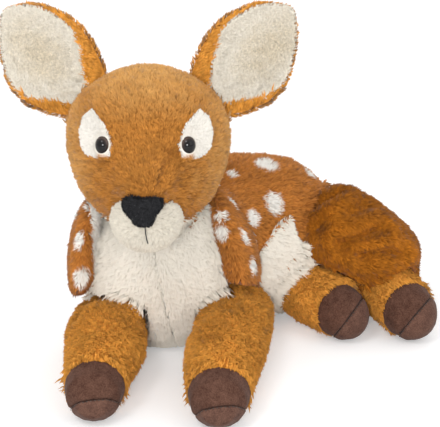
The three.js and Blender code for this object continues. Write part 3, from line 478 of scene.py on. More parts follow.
# How a dyed pile looks: darker towards the roots, which is painted shade deep in the pile, and paler at
# the tips, with tufts that differ a little and soft patches that are lighter and darker at random
pile_dye, given, made = group_of(
    "pile dye",
    {"Root": ("Color", (0.3, 0.2, 0.1, 1)), "Tip": ("Color", (0.6, 0.4, 0.2, 1)),
     "Tuft Change": ("Float", 0.2), "Patch Change": ("Float", 0.2)},
    {"Color": ("Color", None)})
along = add_node(pile_dye, "Attribute", attribute_name="along").outputs["Fac"]
tone = add_node(pile_dye, "Attribute", attribute_name="tone").outputs["Fac"]
# From root to tip: the darker root colour is painted shade deep in the pile
blend = mixed(pile_dye, calc(pile_dye, "POWER", along, 0.75), given["Root"], given["Tip"])
patches = pattern(pile_dye, "TexNoise", {"Scale": 40, "Detail": 3, "Roughness": 0.6})
tuft_part = calc(pile_dye, "SUBTRACT", tone, 0.5)
patch_part = calc(pile_dye, "SUBTRACT", patches, 0.5)
tuft_part = calc(pile_dye, "MULTIPLY_ADD", tuft_part, given["Tuft Change"], 1)
value = calc(pile_dye, "MULTIPLY_ADD", patch_part, given["Patch Change"], tuft_part)
dyed = add_node(pile_dye, "HueSaturation", {"Value": value, "Color": blend}).outputs[0]
pile_dye.links.new(dyed, made["Color"])


def pile_fabric(name, root, tip, tuft=0.6, patch=0.9, spots=None):
    """Plush cloth with its pile, coloured from a darker root, which is painted shade deep in the pile, to a
    tip colour. Where its tufts are marked it takes a second colour: a sprayed dye on some pieces, and painted
    light on others."""
    material, tree = blank_material(name)

    def dye_bath(root, tip, tuft, patch):
        """The colour of one dye."""
        return add_node(tree, "Group", {
            "Root": dye(root), "Tip": dye(tip), "Tuft Change": tuft, "Patch Change": patch},
            node_tree=pile_dye).outputs[0]

    color = dye_bath(root, tip, tuft, patch)
    if spots:
        mark = add_node(tree, "Attribute", attribute_name="mark").outputs["Fac"]
        color = mixed(tree, mark, color, dye_bath(*spots, tuft / 3, patch / 4))
    finish(tree, {"Base Color": color, "Roughness": 0.9, "Specular IOR Level": 0.12, "Sheen Weight": 0.12,
                  "Sheen Roughness": 0.5})
    return material


spotted_fur = pile_fabric("spotted fur", "935322", "c37d38", spots=("ece4d8", "fdfaf3"))
coat_length = 0.0070

# The spots' middles, with their half widths and half heights. The paint went on before the panels were
# sewn, and the chest under the bib's edge was left cream.
torso_spots = np.array([
    (0.0803, 0.0358, 0.1516, 0.0115, 0.009), (0.0990, 0.0800, 0.1510, 0.012, 0.006),
    (0.1272, 0.0582, 0.1371, 0.009, 0.009), (0.0464, 0.0062, 0.1513, 0.005, 0.007),
    (0.0861, -0.0019, 0.1261, 0.0085, 0.0155), (0.0664, -0.0229, 0.1171, 0.007, 0.009),
    (0.030, 0.045, 0.157, 0.010, 0.007), (-0.010, 0.020, 0.155, 0.009, 0.007),
    (-0.045, 0.000, 0.138, 0.010, 0.008), (-0.062, 0.030, 0.100, 0.010, 0.012),
    (-0.020, 0.062, 0.135, 0.009, 0.011), (0.020, 0.090, 0.125, 0.010, 0.011),
    (0.060, 0.075, 0.150, 0.010, 0.007), (0.065, 0.110, 0.110, 0.009, 0.011),
    (0.105, 0.105, 0.120, 0.010, 0.009), (0.005, 0.095, 0.075, 0.008, 0.010),
    (-0.055, 0.055, 0.060, 0.008, 0.010),
])


def sprayed(places, spots, edge=0.22):
    """How white the spray made each place, from 0 to 1: whole inside a spot's ball, squeezed along z by its
    own height, and fading over its edge, which wanders a little."""
    away = (places[:, None] - spots[None, :, :3]) / np.stack([spots[:, 3], spots[:, 3], spots[:, 4]], 1)
    near = np.linalg.norm(away, axis=2).min(1) + 0.12 * wander(places, 0.006, 5)
    return np.clip((1 + edge / 2 - near) / edge, 0, 1)


def torso_paint(places):
    """The spray on the torso: its spots, and the cream chest."""
    chest_front, chest_middle, chest_half, chest_top = -0.052, -0.013, 0.065, 0.12
    x, y, z = places.T
    chest = (y < chest_front) & (np.abs(x - chest_middle) < chest_half) & (z < chest_top)
    return np.maximum(sprayed(places, torso_spots), chest)


def torso_comb(places):
    """Back and aside, and the more down, the lower the place."""
    level, middle_height = 0 * places[:, 0], 0.09
    return np.stack([0.5 + level, 0.8 + level, -0.9 + 4 * (places[:, 2] - middle_height)], 1)


torso = sewn_bag("torso_bag", "torso", "torso", spotted_fur, inset=0.005, marks=torso_paint)
pile("torso_pile", torso, "torso", "torso", spotted_fur, torso_comb, coat_length, seed=1,
     per_mm2=0.58, marks=torso_paint)


# Rump and left thigh: bags of orange-brown plush, sewn on behind the torso, coloured darker than the
# legs' brown as painted shade. The thigh lies over the rump's side, and its pile runs back and down
# towards the hock.
brown_fur = pile_fabric("brown fur", "b26f28", "e39c42")
# A darker copy of the brown fur: painted shade on the rump and thigh
shaded_thigh_fur = pile_fabric("thigh fur", "80470d", "b36c1b")
thigh_folds = (
    (0.009, 0.008, ((0.1211, 0.0102, 0.1167), (0.134, 0.009, 0.1263), (0.145, 0.015, 0.1293))),
    (0.004, 0.006, ((0.1295, -0.0105, 0.1116), (0.1226, -0.0104, 0.104))),
    (0.010, 0.007, ((0.1477, -0.0273, 0.0923), (0.1592, -0.028, 0.0968), (0.1711, -0.0246, 0.0993),
                    (0.1859, -0.0161, 0.1036))),
    (0.005, 0.006, ((0.1454, -0.0273, 0.0902), (0.1524, -0.0297, 0.0851), (0.1688, -0.0309, 0.0826))),
    (0.009, 0.007, ((0.1688, -0.0313, 0.0797), (0.1781, -0.0306, 0.084), (0.195, -0.0265, 0.0849),
                    (0.2068, -0.0235, 0.0797))),
    (0.005, 0.009, ((0.1597, -0.0084, 0.1194), (0.1731, 0.0053, 0.1215))),
)
for name, seed in (("rump", 2), ("left_thigh", 3)):
    bag = sewn_bag(name + "_bag", name, "torso", shaded_thigh_fur, inset=0.005, folds=thigh_folds)
    pile(name + "_pile", bag, name, "torso", shaded_thigh_fur, (0.9, -0.25, -0.5), coat_length,
         seed=seed, parting=[(0.7 * width, path) for depth, width, path in thigh_folds])


# Upper forelegs: the shoulders, cut from the spotted plush with the torso and stuffed. Their pile hangs
# down over the forelegs' seams.
shoulder_spots = np.array([
    (0.0350, -0.0714, 0.1373, 0.0075, 0.005), (0.0341, -0.0781, 0.1225, 0.0075, 0.007),
    (0.0577, -0.0700, 0.1165, 0.0055, 0.009), (0.0659, -0.0770, 0.0900, 0.0065, 0.0075),
    (0.0470, -0.0391, 0.1383, 0.005, 0.008), (-0.0927, -0.0812, 0.1189, 0.006, 0.011),
    (-0.0887, -0.0893, 0.0814, 0.010, 0.010), (-0.100, -0.040, 0.125, 0.007, 0.010),
    (-0.108, -0.030, 0.090, 0.007, 0.010), (0.075, -0.035, 0.100, 0.007, 0.010),
])
bib_edges = {  # height, and where the cream begins at it
    "left": ((0.0, 0.0769, 0.089, 0.113, 0.1375, 0.16), (0.045, 0.0404, 0.0353, 0.0294, 0.0258, 0.022)),
    "right": ((0.0, 0.0794, 0.1016, 0.1306, 0.1362, 0.145),
              (-0.079, -0.0795, -0.0798, -0.0804, -0.0841, -0.093)),
}
strip_blend, strip_sway, strip_back = 0.001, 0.0006, -0.02
for side, sign, seed in (("left", 1, 4), ("right", -1, 5)):
    def past_edge(places):
        """How far each place lies past the cream's edge, towards the bib."""
        return sign * (np.interp(places[:, 2], *bib_edges[side]) - places[:, 0])

    def shoulder_paint(places):
        """The spray on a shoulder: its spots, and the cream strip that is sewn to the bib."""
        cream = np.clip((past_edge(places) - strip_sway * wander(places, 0.005, 6)) / strip_blend, 0, 1)
        return np.maximum(sprayed(places, shoulder_spots), cream * (places[:, 1] < strip_back))

    def shoulder_comb(places):
        """Down, and on the cream strip also towards the bib."""
        on_strip = (past_edge(places) > strip_blend)[:, None]
        return np.where(on_strip, [[-1.6 * sign, -0.8, -1]], [[0.35 * sign, 0.1, -1]])

    bag = sewn_bag(f"{side}_shoulder_bag", f"{side}_upper_foreleg", "torso", spotted_fur,
                   inset=0.0045, weave=0.004, marks=shoulder_paint)
    pile(f"{side}_shoulder_pile", bag, f"{side}_upper_foreleg", "torso", spotted_fur,
         shoulder_comb, coat_length, seed=seed, marks=shoulder_paint)


# Bib and belly panels: cream plush with a shorter pile, let into the torso's front and flank. The bib is
# two halves with a seam down the middle, and its side and lower edges swell a little.
cream_fur = pile_fabric("cream fur", "e2d8c6", "f7f1e4", tuft=0.08, patch=0.08)
bib_seam = (
    (-0.027, -0.079, 0.112), (-0.0246, -0.0828, 0.1021), (-0.021, -0.088, 0.0847), (-0.0167, -0.0911, 0.0615),
    (-0.0125, -0.0874, 0.0421), (-0.0101, -0.0819, 0.0276), (-0.009, -0.078, 0.012))
bib_swells = (
    (-0.003, 0.009, ((-0.074, -0.03, 0.118), (-0.0752, -0.041, 0.1105), (-0.076, -0.0596, 0.0979),
                     (-0.0765, -0.062, 0.088), (-0.0786, -0.0633, 0.0626)), (-0.4, -0.9, 0)),
    (-0.007, 0.008, ((-0.0809, -0.0271, 0.0433), (-0.0704, -0.0725, 0.0685), (-0.0626, -0.0780, 0.0708),
                     (-0.0523, -0.0829, 0.0708), (-0.0449, -0.0866, 0.0675), (-0.0395, -0.0878, 0.0630)),
     (-0.1, -0.55, -0.85)),
    (-0.004, 0.008, ((0.0159, -0.0835, 0.0583), (0.0213, -0.0814, 0.0633), (0.0277, -0.0784, 0.0670),
                     (0.0368, -0.0713, 0.0690)), (0.1, -0.55, -0.85)),
)


def bib_comb(places):
    """Down, and away from the seam, the more so the further from it."""
    level, seam_middle, parted = 0 * places[:, 0], -0.018, 18
    return np.stack([parted * (places[:, 0] - seam_middle), level, -1 + level], 1)


for name, folds, seed in (
    ("left_bib_panel", bib_swells, 6), ("right_bib_panel", bib_swells, 7), ("belly_panel", (), 8),
):
    cloth = sewn_bag(name + "_cloth", name, "torso", cream_fur, inset=0.0006, weave=0.0014,
                     ease=6, swell=0, folds=folds)
    pile(name + "_pile", cloth, name, "torso", cream_fur, bib_comb, length=0.0055, lean=54,
         thick=0.0011, per_mm2=1.0, glow=0.7, seed=seed, fringe=0.0045, relief=0.15,
         parting=[(0.0026, bib_seam)])


# Pellet pouch: a small cotton bag of plastic pellets inside the torso, which weighs the toy down. Its plain
# weave is a fine crossing of two wave patterns, in colour and height.
def bumped(tree, height, strength, distance):
    """The normals of a surface with small bumps of this height."""
    return add_node(tree, "Bump", {"Height": height, "Strength": strength, "Distance": distance}).outputs[0]


pouch_cotton, tree = blank_material("pouch cotton")
warp = pattern(tree, "TexWave", {"Scale": 400}, bands_direction="X")
weft = pattern(tree, "TexWave", {"Scale": 400}, bands_direction="Z")
threads = calc(tree, "MULTIPLY", warp, weft)
cotton = dye("dcd8cc")
between = (*(0.7 * share for share in cotton[:3]), 1)
finish(tree, {"Base Color": mixed(tree, threads, between, cotton), "Roughness": 0.9,
              "Normal": bumped(tree, threads, 0.3, 0.0003)})
sewn_bag("pellet_pouch_bag", "pellet_pouch", "torso", pouch_cotton, inset=0.001, weave=0.004,
         swell=0.0008)


# Neck: a ball of stuffing in its own cover, sewn to the torso and to the throat. Its front, between the
# cheeks and the bib, is cream, and the nape is brown.
neck_fur = pile_fabric("neck fur", "935322", "c37d38", spots=("e2d8c6", "f7f1e4"))


def throat(places):
    """1 in front, where the neck is cream, and 0 at the nape."""
    cream_back, blend = -0.030, 0.004
    return np.clip((cream_back - places[:, 1]) / blend, 0, 1)


neck = sewn_bag("neck_bag", "neck", "neck", neck_fur, inset=0.003, marks=throat)
pile("neck_pile", neck, "neck", "neck", neck_fur, (0, 0, -1), length=0.0065, per_mm2=0.6,
     thick=0.0014, marks=throat, seed=9)


# Head: a big stuffed bag of orange-brown plush. The pile parts at the nose and runs up the brow, round
# the cheeks and back. A cream gusset is let in under the jaw.
nose_tip = np.array([-0.0285, -0.168, 0.163])
face_middle = -0.028
# The head's second, paler dye grows with height on the crown, and is painted light on the cheeks
head_fur = pile_fabric("head fur", "8c5722", "bf7f38", spots=("b77d3b", "e6ae66"))
snout_folds = (
    (0.005, 0.005, ((-0.0054, -0.1424, 0.2133), (-0.0102, -0.1505, 0.2054), (-0.0126, -0.1584, 0.1948))),
    (0.003, 0.012, ((-0.0287, -0.135, 0.2444), (-0.0295, -0.1398, 0.2327), (-0.0287, -0.1439, 0.2208))),
)


def paler_crown_and_painted_cheek_light(places):
    """How much of the paler dye each place has: more with height on the crown, and towards the sides,
    where on the cheeks it is painted light, as the lamps light them less; and unevenly."""
    crown_height, crown_blend, cheek_width, cheek_blend = 0.24, 0.04, 0.035, 0.05
    crown = (places[:, 2] - crown_height) / crown_blend
    cheek = (np.abs(places[:, 0] - face_middle) - cheek_width) / cheek_blend
    return np.clip(np.maximum(crown, cheek) + 0.15 * wander(places, 0.02, 8), 0, 1)


head = sewn_bag("head_bag", "head", "head", head_fur, inset=0.0048, folds=snout_folds,
                marks=paler_crown_and_painted_cheek_light)
pile("head_pile", head, "head", "head", head_fur,
     lambda p: unit(p - nose_tip) + [0, 0.1, 0.15], length=0.0062, lean=46, curl=0.9, unruly=0.35,
     per_mm2=1.0, seed=10, marks=paler_crown_and_painted_cheek_light, parting=[(0.004, snout_folds[0][2])], fringe=0.0015,
     lock=0.0055, thick=0.0011, relief=0.5,
     clear=("left_eye", "right_eye", "left_eye_patch", "right_eye_patch", "nose"))
jaw = sewn_bag("jaw_bag", "jaw_gusset", "head", cream_fur, inset=0.0035, weave=0.004)
pile("jaw_pile", jaw, "jaw_gusset", "head", cream_fur,
     lambda p: unit(p - nose_tip) + [0, 0, -0.5], length=0.0065, seed=11)


# Muzzle: a ball of short cream plush that is stuffed hard and sewn on under the nose. The mouth is one
# line of black thread, stitched down from the nose, and the pile parts round it.
mouth_line = np.array([(-0.0279, -0.1686, 0.1635), (-0.0277, -0.1694, 0.1605), (-0.0273, -0.1698, 0.1555),
                       (-0.0266, -0.1692, 0.1505), (-0.0256, -0.1674, 0.1457)])
muzzle_fur = pile_fabric("muzzle fur", "d3c9b7", "e6dece", tuft=0.2, patch=0.12)
muzzle = sewn_bag("muzzle_bag", "muzzle", "head", muzzle_fur, inset=0.0035, weave=0.004)
pile("muzzle_pile", muzzle, "muzzle", "head", muzzle_fur,
     lambda p: unit(p - nose_tip), length=0.0046, lean=40, unruly=0.5, curl=1.0, per_mm2=1.3, glow=0.5,
     thick=0.0011, seed=12, fringe=0, lock=0.0045, relief=0.3, parting=[(0.0022, mouth_line)])


def ring_walls(rings, steps):
    """The four-cornered faces between rings that follow each other, with `steps` points each."""
    i, j = np.meshgrid(np.arange(rings - 1), np.arange(steps), indexing="ij")
    k = (j + 1) % steps
    walls = np.stack([i * steps + j, (i + 1) * steps + j, (i + 1) * steps + k, i * steps + k], -1)
    return walls.reshape(-1, 4)


def cord_surface(path, radius, steps=8):
    """A thread along a path: a circle carried along it, square to each stretch, with a point at each end."""
    off_the_path = (0.3, 1, 0.2)  # a way that no stretch runs along
    ahead = unit(np.gradient(path, axis=0))
    aside = unit(np.cross(ahead, off_the_path))
    turn = np.linspace(0, 2 * math.pi, steps, endpoint=False)[:, None]
    ring = aside[:, None] * np.cos(turn) + np.cross(ahead, aside)[:, None] * np.sin(turn)
    places = (path[:, None] + radius * ring).reshape(-1, 3)
    walls = ring_walls(len(path), steps)
    last, around = len(places), np.arange(steps)
    onward = (around + 1) % steps
    caps = np.concatenate([
        np.stack([np.full(steps, last), around, onward], 1),
        np.stack([np.full(steps, last + 1), last - steps + onward, last - steps + around], 1)])
    places = np.concatenate([places, path[:1] - radius * ahead[:1], path[-1:] + radius * ahead[-1:]])
    return places, np.concatenate([walls[:, [0, 1, 2]], walls[:, [0, 2, 3]], caps])


black_thread, tree = blank_material("black thread")
ply = pattern(tree, "TexWave", {"Scale": 260, "Distortion": 1}, bands_direction="DIAGONAL")
finish(tree, {"Base Color": mixed(tree, ply, dye("0f0f11"), dye("2b2b2e")), "Roughness": 0.6,
              "Normal": bumped(tree, ply, 0.5, 0.0002)})
thread_radius = 0.00048
mouth = surface("mouth_thread", *cord_surface(mouth_line, thread_radius), black_thread)
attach(mouth, "head")
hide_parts("mouth_stitch")


# Nose: a stuffed pad of black plush with small grey flecks on it that are painted glints, sewn on over
# the muzzle. Its pile is about 3 mm long and brushed down to the middle.
black_plush, tree = blank_material("black plush")
grain = pattern(tree, "TexNoise", {"Scale": 700, "Detail": 4})
glint = pattern(tree, "TexVoronoi", {"Scale": 900}, output="Distance")
black = mixed(tree, grain, dye("0a0a0c"), dye("39393c"))
# Pale grey flecks on the black: painted glints of light
black = mixed(tree, calc(tree, "LESS_THAN", glint, 0.1), black, dye("8a8a8e"))
finish(tree, {"Base Color": black, "Roughness": 0.75, "Specular IOR Level": 0.2,
              "Normal": bumped(tree, grain, 0.6, 0.0005)})
nose_foot = np.array([-0.0285, -0.168, 0.155])  # the pad's lower point, which its pile is brushed to
nose_swell = (-0.0032, 0.0060, ((-0.0305, -0.1655, 0.1655), (-0.0265, -0.1657, 0.1645)))
nose = sewn_bag("nose_pad", "nose", "head", black_plush, inset=0.0012, weave=0.0012, ease=5,
                swell=0.0004, folds=[nose_swell])
pile("nose_pile", nose, "nose", "head", black_plush, lambda p: nose_foot - p, length=0.0028,
     lean=42, per_mm2=2.4, thick=0.0009, unruly=0.9, seed=19, fringe=0, relief=1.0, lock=0.003, glow=0)


# Eyes: oval safety eyes of glossy dark plastic. A stem goes through the cloth, and a washer locks it
# behind. Round each eye lies a patch of short white plush.
eye_wide, eye_high, eye_deep = 0.00725, 0.0085, 0.008  # an eye's half width, half height and bulge
rings_wide = 0.0072  # the half width of the colour rings that are seen in it
eye_depth, given, made = group_of(
    "eye depth", {"Foot": ("Vector", (0, 0, 0)), "Aside": ("Vector", (1, 0, 0))}, {"Color": ("Color", None)})
place = add_node(eye_depth, "TexCoord").outputs["Object"]
out = add_node(eye_depth, "VectorMath", {0: place, 1: given["Foot"]}, operation="SUBTRACT").outputs[0]
across = add_node(eye_depth, "VectorMath", {0: out, 1: given["Aside"]}, operation="DOT_PRODUCT")
across = calc(eye_depth, "MULTIPLY", across.outputs["Value"], 1 / rings_wide)
upward = add_node(eye_depth, "SeparateXYZ", {0: out}).outputs["Z"]
upward = calc(eye_depth, "MULTIPLY", upward, 1 / eye_high)
off_middle = add_node(eye_depth, "CombineXYZ", {0: across, 1: upward}).outputs[0]
off_middle = add_node(eye_depth, "VectorMath", {0: off_middle}, operation="LENGTH").outputs["Value"]
rings = eye_depth.nodes.new("ShaderNodeValToRGB")
rings.color_ramp.elements[0].position, rings.color_ramp.elements[0].color = 0.6, dye("060505")
rings.color_ramp.elements[1].position, rings.color_ramp.elements[1].color = 0.8, dye("2a211d")
for at, color in ((0.92, "55463f"), (1.0, "1c1613")):
    rings.color_ramp.elements.new(at).color = dye(color)
eye_depth.links.new(off_middle, rings.inputs[0])
eye_depth.links.new(rings.outputs[0], made["Color"])
washer_plastic, tree = blank_material("washer plastic")
finish(tree, {"Base Color": dye("e9e9e4")})
patch_fur = pile_fabric("patch fur", "dbd2c3", "f4efe6", tuft=0.15, patch=0.1, spots=("a5672a", "cd8a3c"))


def turned_eye(foot, outward, steps=48):
    """An oval eye with its stem: a profile turned about the outward axis. Each ring has a half width, a half
    height and a depth: a dome of cosine and sine arcs, a flat back, and a round stem with a closed end."""
    lift, sunk = np.radians(np.linspace(88, -8, 20)), 0.002
    rings = np.stack([eye_wide * np.cos(lift), eye_high * np.cos(lift), eye_deep * np.sin(lift) - sunk], 1)
    stem = [(0.0045, 0.0055, -0.0033), (0.002, 0.002, -0.0034), (0.002, 0.002, -0.013),
            (0.0001, 0.0001, -0.0132)]
    wide, high, deep = np.concatenate([rings, stem]).T[..., None]
    turn = np.linspace(0, 2 * math.pi, steps, endpoint=False)
    aside = np.array([-outward[1], outward[0], 0])
    places = (foot + (wide * np.cos(turn))[..., None] * aside + (high * np.sin(turn))[..., None] * [0, 0, 1]
              + (deep + 0 * turn)[..., None] * outward)
    last, around = len(wide) * steps, np.arange(0, steps, 2)
    ends = [
        np.stack([around * 0 + end, around + row, (around + 1) % steps + row, (around + 2) % steps + row], 1)
        for end, row in ((last, 0), (last + 1, last - steps))]
    places = np.concatenate([places.reshape(-1, 3), [places[0].mean(0), places[-1].mean(0)]])
    return places, np.concatenate([ring_walls(len(wide), steps), ends[0], ends[1][:, ::-1]])


for side, sign, seed in (("left", 1, 13), ("right", -1, 14)):
    foot, outward = (-0.02797 + 0.03596 * sign, -0.13468, 0.22168), (0.454 * sign, -0.891, 0)
    eye_plastic, tree = blank_material(side + " eye plastic")
    aside = (-outward[1], outward[0], 0)
    color = add_node(tree, "Group", {"Foot": foot, "Aside": aside}, node_tree=eye_depth).outputs[0]
    finish(tree, {"Base Color": color, "Roughness": 0.05, "IOR": 1.38})
    dome = turned_eye(np.array(foot), unit(np.array(outward)))
    eye = surface(side + "_eye_dome", *dome, eye_plastic)
    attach(eye, "head")
    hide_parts(side + "_eye")
    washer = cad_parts[side + "_eye_washer"]
    washer.data.materials.clear()
    washer.data.materials.append(washer_plastic)

    def corner_tint(places):
        """How brown each place of a patch is dyed: wholly in its lower corner on the nose's side, where the
        solid reaches lower than the white does."""
        eye_aside, corner_aside, aside_blend, corner_top, top_blend = 0.036, 0.004, 0.003, 0.2137, 0.0022
        aside = (places[:, 0] - face_middle) * sign - eye_aside
        low = 1 - np.clip((places[:, 2] - corner_top) / top_blend, 0, 1)
        return low * (1 - np.clip((aside - corner_aside) / aside_blend, 0, 1))

    patch = sewn_bag(f"{side}_eye_patch_cloth", f"{side}_eye_patch", "head", patch_fur,
                     inset=0.0005, weave=0.001, ease=4, swell=0, marks=corner_tint)
    pile(f"{side}_eye_patch_pile", patch, f"{side}_eye_patch", "head", patch_fur,
         lambda p: unit(p - [face_middle + 0.041 * sign, -0.131, 0.229]) + [0.2 * sign, 0, 0.3],
         length=0.0028, lean=48, per_mm2=1.8, thick=0.0010, seed=seed, glow=0.3, fringe=0, relief=0.2,
         lock=0.004, clear=(f"{side}_eye",), marks=corner_tint)


# Ears: two leaves sewn edge to edge, a back of orange-brown plush and a lining of short curly pile. They
# cup forward, and their roots are let into the head.
# The lining's greyer first dye is painted shade in the cup, and its paler second dye painted light
lining_fur = pile_fabric("ear lining", "c4b69f", "e4d7bf", tuft=0.6, patch=0.3, spots=("d3c8b3", "f3ebdc"))
rim_rolls = {  # the rolled edges: a way to the crown's side, the lining's facing, and the creases' two paths
    "left": ((-0.7207, 0.1999, 0.6638), (0.0495, -0.9403, 0.3368),
             ((0.0394, -0.0501, 0.2799), (0.0355, -0.0535, 0.2662), (0.0328, -0.0578, 0.2528)),
             ((0.0328, -0.0578, 0.2528), (0.0394, -0.0591, 0.25), (0.056, -0.0596, 0.2542),
              (0.0667, -0.0592, 0.2586))),
    "right": ((0.709, 0.1999, 0.6763), (-0.0554, -0.9403, 0.3359),
              ((-0.099, -0.048, 0.2911), (-0.0992, -0.0493, 0.281), (-0.0982, -0.052, 0.2681),
               (-0.0943, -0.0558, 0.2568)),
              ((-0.0914, -0.0579, 0.2519), (-0.1011, -0.0578, 0.2528), (-0.1098, -0.0597, 0.2519),
               (-0.1185, -0.0602, 0.2544))),
}
roll_height, roll_width, roll_offset = 0.0022, 0.0036, 0.005
for side, seed, way, middle in (
    ("left", 15, (0.6915, 0.2756, 0.6677), (0.0790, -0.0490, 0.2840)),
    ("right", 17, (-0.703, 0.2756, 0.6556), (-0.1243, -0.0472, 0.2782)),
):
    way, middle = np.array(way), np.array(middle)
    crownward, facing, inner, lower = (np.array(x) for x in rim_rolls[side])
    rolls = [(-roll_height, roll_width, path, facing)
             for path in (inner + roll_offset * crownward, lower - roll_offset * way)]

    def painted_cup_shade(places):
        """How pale each place of the lining is: an oval along the ear's middle stays grey, as painted shade
        in the cup, and the rest out to the rims is paler, as painted light.
        """
        half_long, half_wide, grey, blend = 0.034, 0.02, 0.3, 1.1
        run = ((places - middle) @ way)[:, None] * way
        off = np.linalg.norm(places - middle - run, axis=1)
        near = np.hypot(np.linalg.norm(run, axis=1) / half_long, off / half_wide)
        return np.clip((near - grey) / blend + 0.2 * wander(places, 0.01, 9), 0, 1)

    back = sewn_bag(f"{side}_ear_back_leaf", f"{side}_ear_back", f"{side}_ear", brown_fur,
                    inset=0.001, weave=0.0016, ease=8, swell=0)
    pile(f"{side}_ear_back_pile", back, f"{side}_ear_back", f"{side}_ear", brown_fur, way,
         length=0.0055, seed=seed, fringe=0.001)
    lining = sewn_bag(f"{side}_ear_lining_leaf", f"{side}_ear_lining", f"{side}_ear",
                      lining_fur, inset=0.0004, weave=0.0011, ease=6, swell=0, folds=rolls,
                      marks=painted_cup_shade)
    pile(f"{side}_ear_lining_pile", lining, f"{side}_ear_lining", f"{side}_ear", lining_fur,
         way, length=0.0032, lean=30, per_mm2=1.8, unruly=0.6, curl=1.2, thick=0.0010, seed=seed + 1,
         marks=painted_cup_shade, fringe=0, lock=0.003, parting=[(0.0016, inner), (0.0016, lower)])


# Legs: four stuffed sleeves of orange-brown plush, whose pile runs down to the hooves. Each ends in a
# hoof of dark suede cloth with a lighter sole, topstitched along the seam.
suedes = {}
for slot, low, high in (("hoof_suede", "3b241c", "6d4e41"), ("sole_suede", "47302a", "775749")):
    suedes[slot], tree = blank_material(slot.replace("_", " "))
    nap = pattern(tree, "TexNoise", {"Scale": 110, "Detail": 8, "Roughness": 0.8})
    fine = pattern(tree, "TexNoise", {"Scale": 900, "Detail": 3, "Roughness": 0.7})
    worn = add_node(tree, "MapRange", {
        "Value": calc(tree, "ADD", nap, fine), "From Min": 0.75, "From Max": 1.25}).outputs[0]
    finish(tree, {
        "Base Color": mixed(tree, worn, dye(low), dye(high)), "Roughness": 0.95, "Specular IOR Level": 0.08,
        "Sheen Weight": 0.08, "Sheen Roughness": 0.4, "Normal": bumped(tree, fine, 0.6, 0.0004)})
stitch_thread, tree = blank_material("stitch thread")
twist = pattern(tree, "TexWave", {"Scale": 500})
finish(tree, {"Base Color": mixed(tree, twist, dye("1c120e"), dye("5a453b")), "Roughness": 0.45})


def seam_stitches(name, leg, sole, middle, square, heading):
    """The topstitching of a hoof: short stitches along its seam, on the sole's side. From a point behind
    the seam's middle, lines of sight in the seam's plane, a degree apart, tell where the sole ends, and
    the stitches lie evenly on the line through those places. Each is a ball, drawn out along the seam."""
    set_back, below_seam, reach, far_off = 0.025, 0.0013, 0.06, 0.05
    first, spacing = 0.0015, 0.0034
    half_sizes = [0.0009, 0.0005, 0.0005]
    rings, steps = 5, 8
    middle, square = np.array(middle), unit(np.array(square))
    ahead = unit(np.array(heading) - np.dot(heading, square) * square)
    turn = np.radians(np.arange(-118, 119, 1.0))[:, None]
    ways = np.cos(turn) * ahead + np.sin(turn) * np.cross(square, ahead)
    middle = middle - set_back * ahead
    start = middle - below_seam * square + 0 * ways
    out = room_over(start, ways, [other for other in solids if other != sole], reach)
    good = out < far_off
    line = (start + out[:, None] * ways)[good]
    run = np.concatenate([[0], np.cumsum(np.linalg.norm(np.diff(line, axis=0), axis=1))])
    spots = np.arange(first, run[-1], spacing)
    place = np.stack([np.interp(spots, run, line[:, k]) for k in range(3)], 1)
    ahead = unit(np.stack([np.interp(spots, run, np.gradient(line[:, k], run)) for k in range(3)], 1))
    out = unit(place - middle)
    a, b = np.meshgrid(
        np.linspace(0, 2 * math.pi, steps, endpoint=False), np.linspace(0.05, math.pi - 0.05, rings))
    ball = np.stack([np.cos(b), np.sin(b) * np.cos(a), np.sin(b) * np.sin(a)], -1).reshape(-1, 3) * half_sizes
    beads = place[:, None] + (ball[None, :, 0:1] * ahead[:, None] + ball[None, :, 1:2] * out[:, None]
                              + ball[None, :, 2:3] * np.cross(ahead, out)[:, None])
    skin = ring_walls(rings, steps)[:, [0, 3, 2, 1]]
    last = (rings - 1) * steps
    tops = [(0, 7, 6, 5), (0, 5, 4, 3), (0, 3, 2, 1)]
    tops += [(last, last + k, last + k + 1, last + k + 2) for k in (1, 3, 5)]
    faces = np.concatenate([skin, tops])
    faces = (faces[None] + rings * steps * np.arange(len(spots))[:, None, None]).reshape(-1, 4)
    piece = surface(name, beads.reshape(-1, 3), faces, stitch_thread)
    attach(piece, leg)


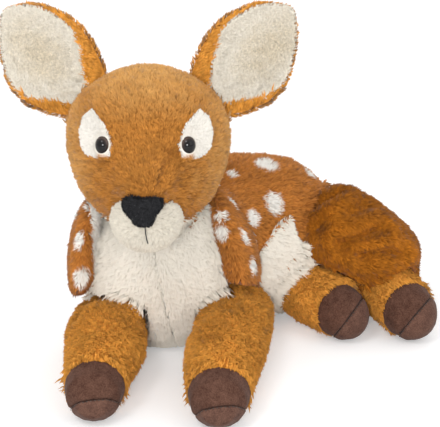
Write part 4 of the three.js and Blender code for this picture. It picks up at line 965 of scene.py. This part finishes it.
leg_folds = {
    "leftfore": (
        (-0.003, 0.007, ((0.0134, -0.1078, 0.0492), (0.0188, -0.1011, 0.0541), (0.0265, -0.0414, 0.0443),
                         (0.0369, -0.0511, 0.0545), (0.0480, -0.0522, 0.0580))),
        (0.003, 0.006, ((0.0424, -0.0557, 0.0576), (0.0486, -0.0938, 0.0651), (0.0439, -0.1154, 0.0671))),
    ),
    "rightfore": (
        (-0.004, 0.007, ((-0.0791, -0.0506, 0.0451), (-0.0720, -0.0444, 0.0455), (-0.0636, -0.0449, 0.0447),
                         (-0.0532, -0.0734, 0.0529), (-0.0437, -0.0967, 0.0561))),
        (0.003, 0.006, ((-0.078, -0.0815, 0.0569), (-0.0873, -0.0802, 0.0534), (-0.0937, -0.0983, 0.0548),
                        (-0.0964, -0.1188, 0.0541))),
    ),
    "lefthind": (),
    "righthind": ((0.004, 0.006, ((0.1177, -0.0374, 0.0374), (0.128, -0.043, 0.037))),),
}
for side, end, heading, seam_middle, seam_square, seed in (
    ("left", "fore", (0, -1, -0.15), (0.03261, -0.24007, 0.03232), (-0.1163, 0.6691, 0.7340), 20),
    ("right", "fore", (0, -1, -0.15), (-0.07319, -0.22795, 0.03232), (-0.1163, 0.6691, 0.7340), 21),
    ("left", "hind", (0.4472, -0.8944, -0.1), (0.21702, -0.06743, 0.03849), (-0.7526, 0.3718, 0.5435), 22),
    ("right", "hind", (0.564, -0.8257, -0.1), (0.15759, -0.06657, 0.03756), (-0.7959, 0.2667, 0.5435), 23),
):
    leg, folds = f"{side}_{end}leg", leg_folds[side + end]
    bag = sewn_bag(leg + "_bag", leg, leg, brown_fur, inset=0.005, folds=folds)
    pile(leg + "_pile", bag, leg, leg, brown_fur, heading, coat_length, seed=seed, glow=0.55,
         parting=[(0.6 * width, path) for depth, width, path in folds if depth > 0])
    hoof = f"{side}_{end}_hoof"
    for piece, slot in (("upper", "hoof_suede"), ("sole", "sole_suede")):
        sewn_bag(f"{hoof}_{piece}_bag", f"{hoof}_{piece}", leg, suedes[slot], inset=-0.0002,
                 weave=0.0016, ease=2, swell=0.0004)
    seam_stitches(hoof + "_stitches", leg, hoof + "_sole", seam_middle, seam_square, heading)


# Tail: a short flat bag, brown above and cream below, sewn on at the end of the back.
for name, material, slot, seed in (
    ("tail_top", brown_fur, "brown_fur", 24), ("tail_underside", cream_fur, "cream_fur", 25),
):
    bag = sewn_bag(name + "_bag", name, "tail", material, inset=0.0025, weave=0.003, swell=0.001)
    pile(name + "_pile", bag, name, "tail", material, (0.15, 1, -0.4), length=0.008, seed=seed)
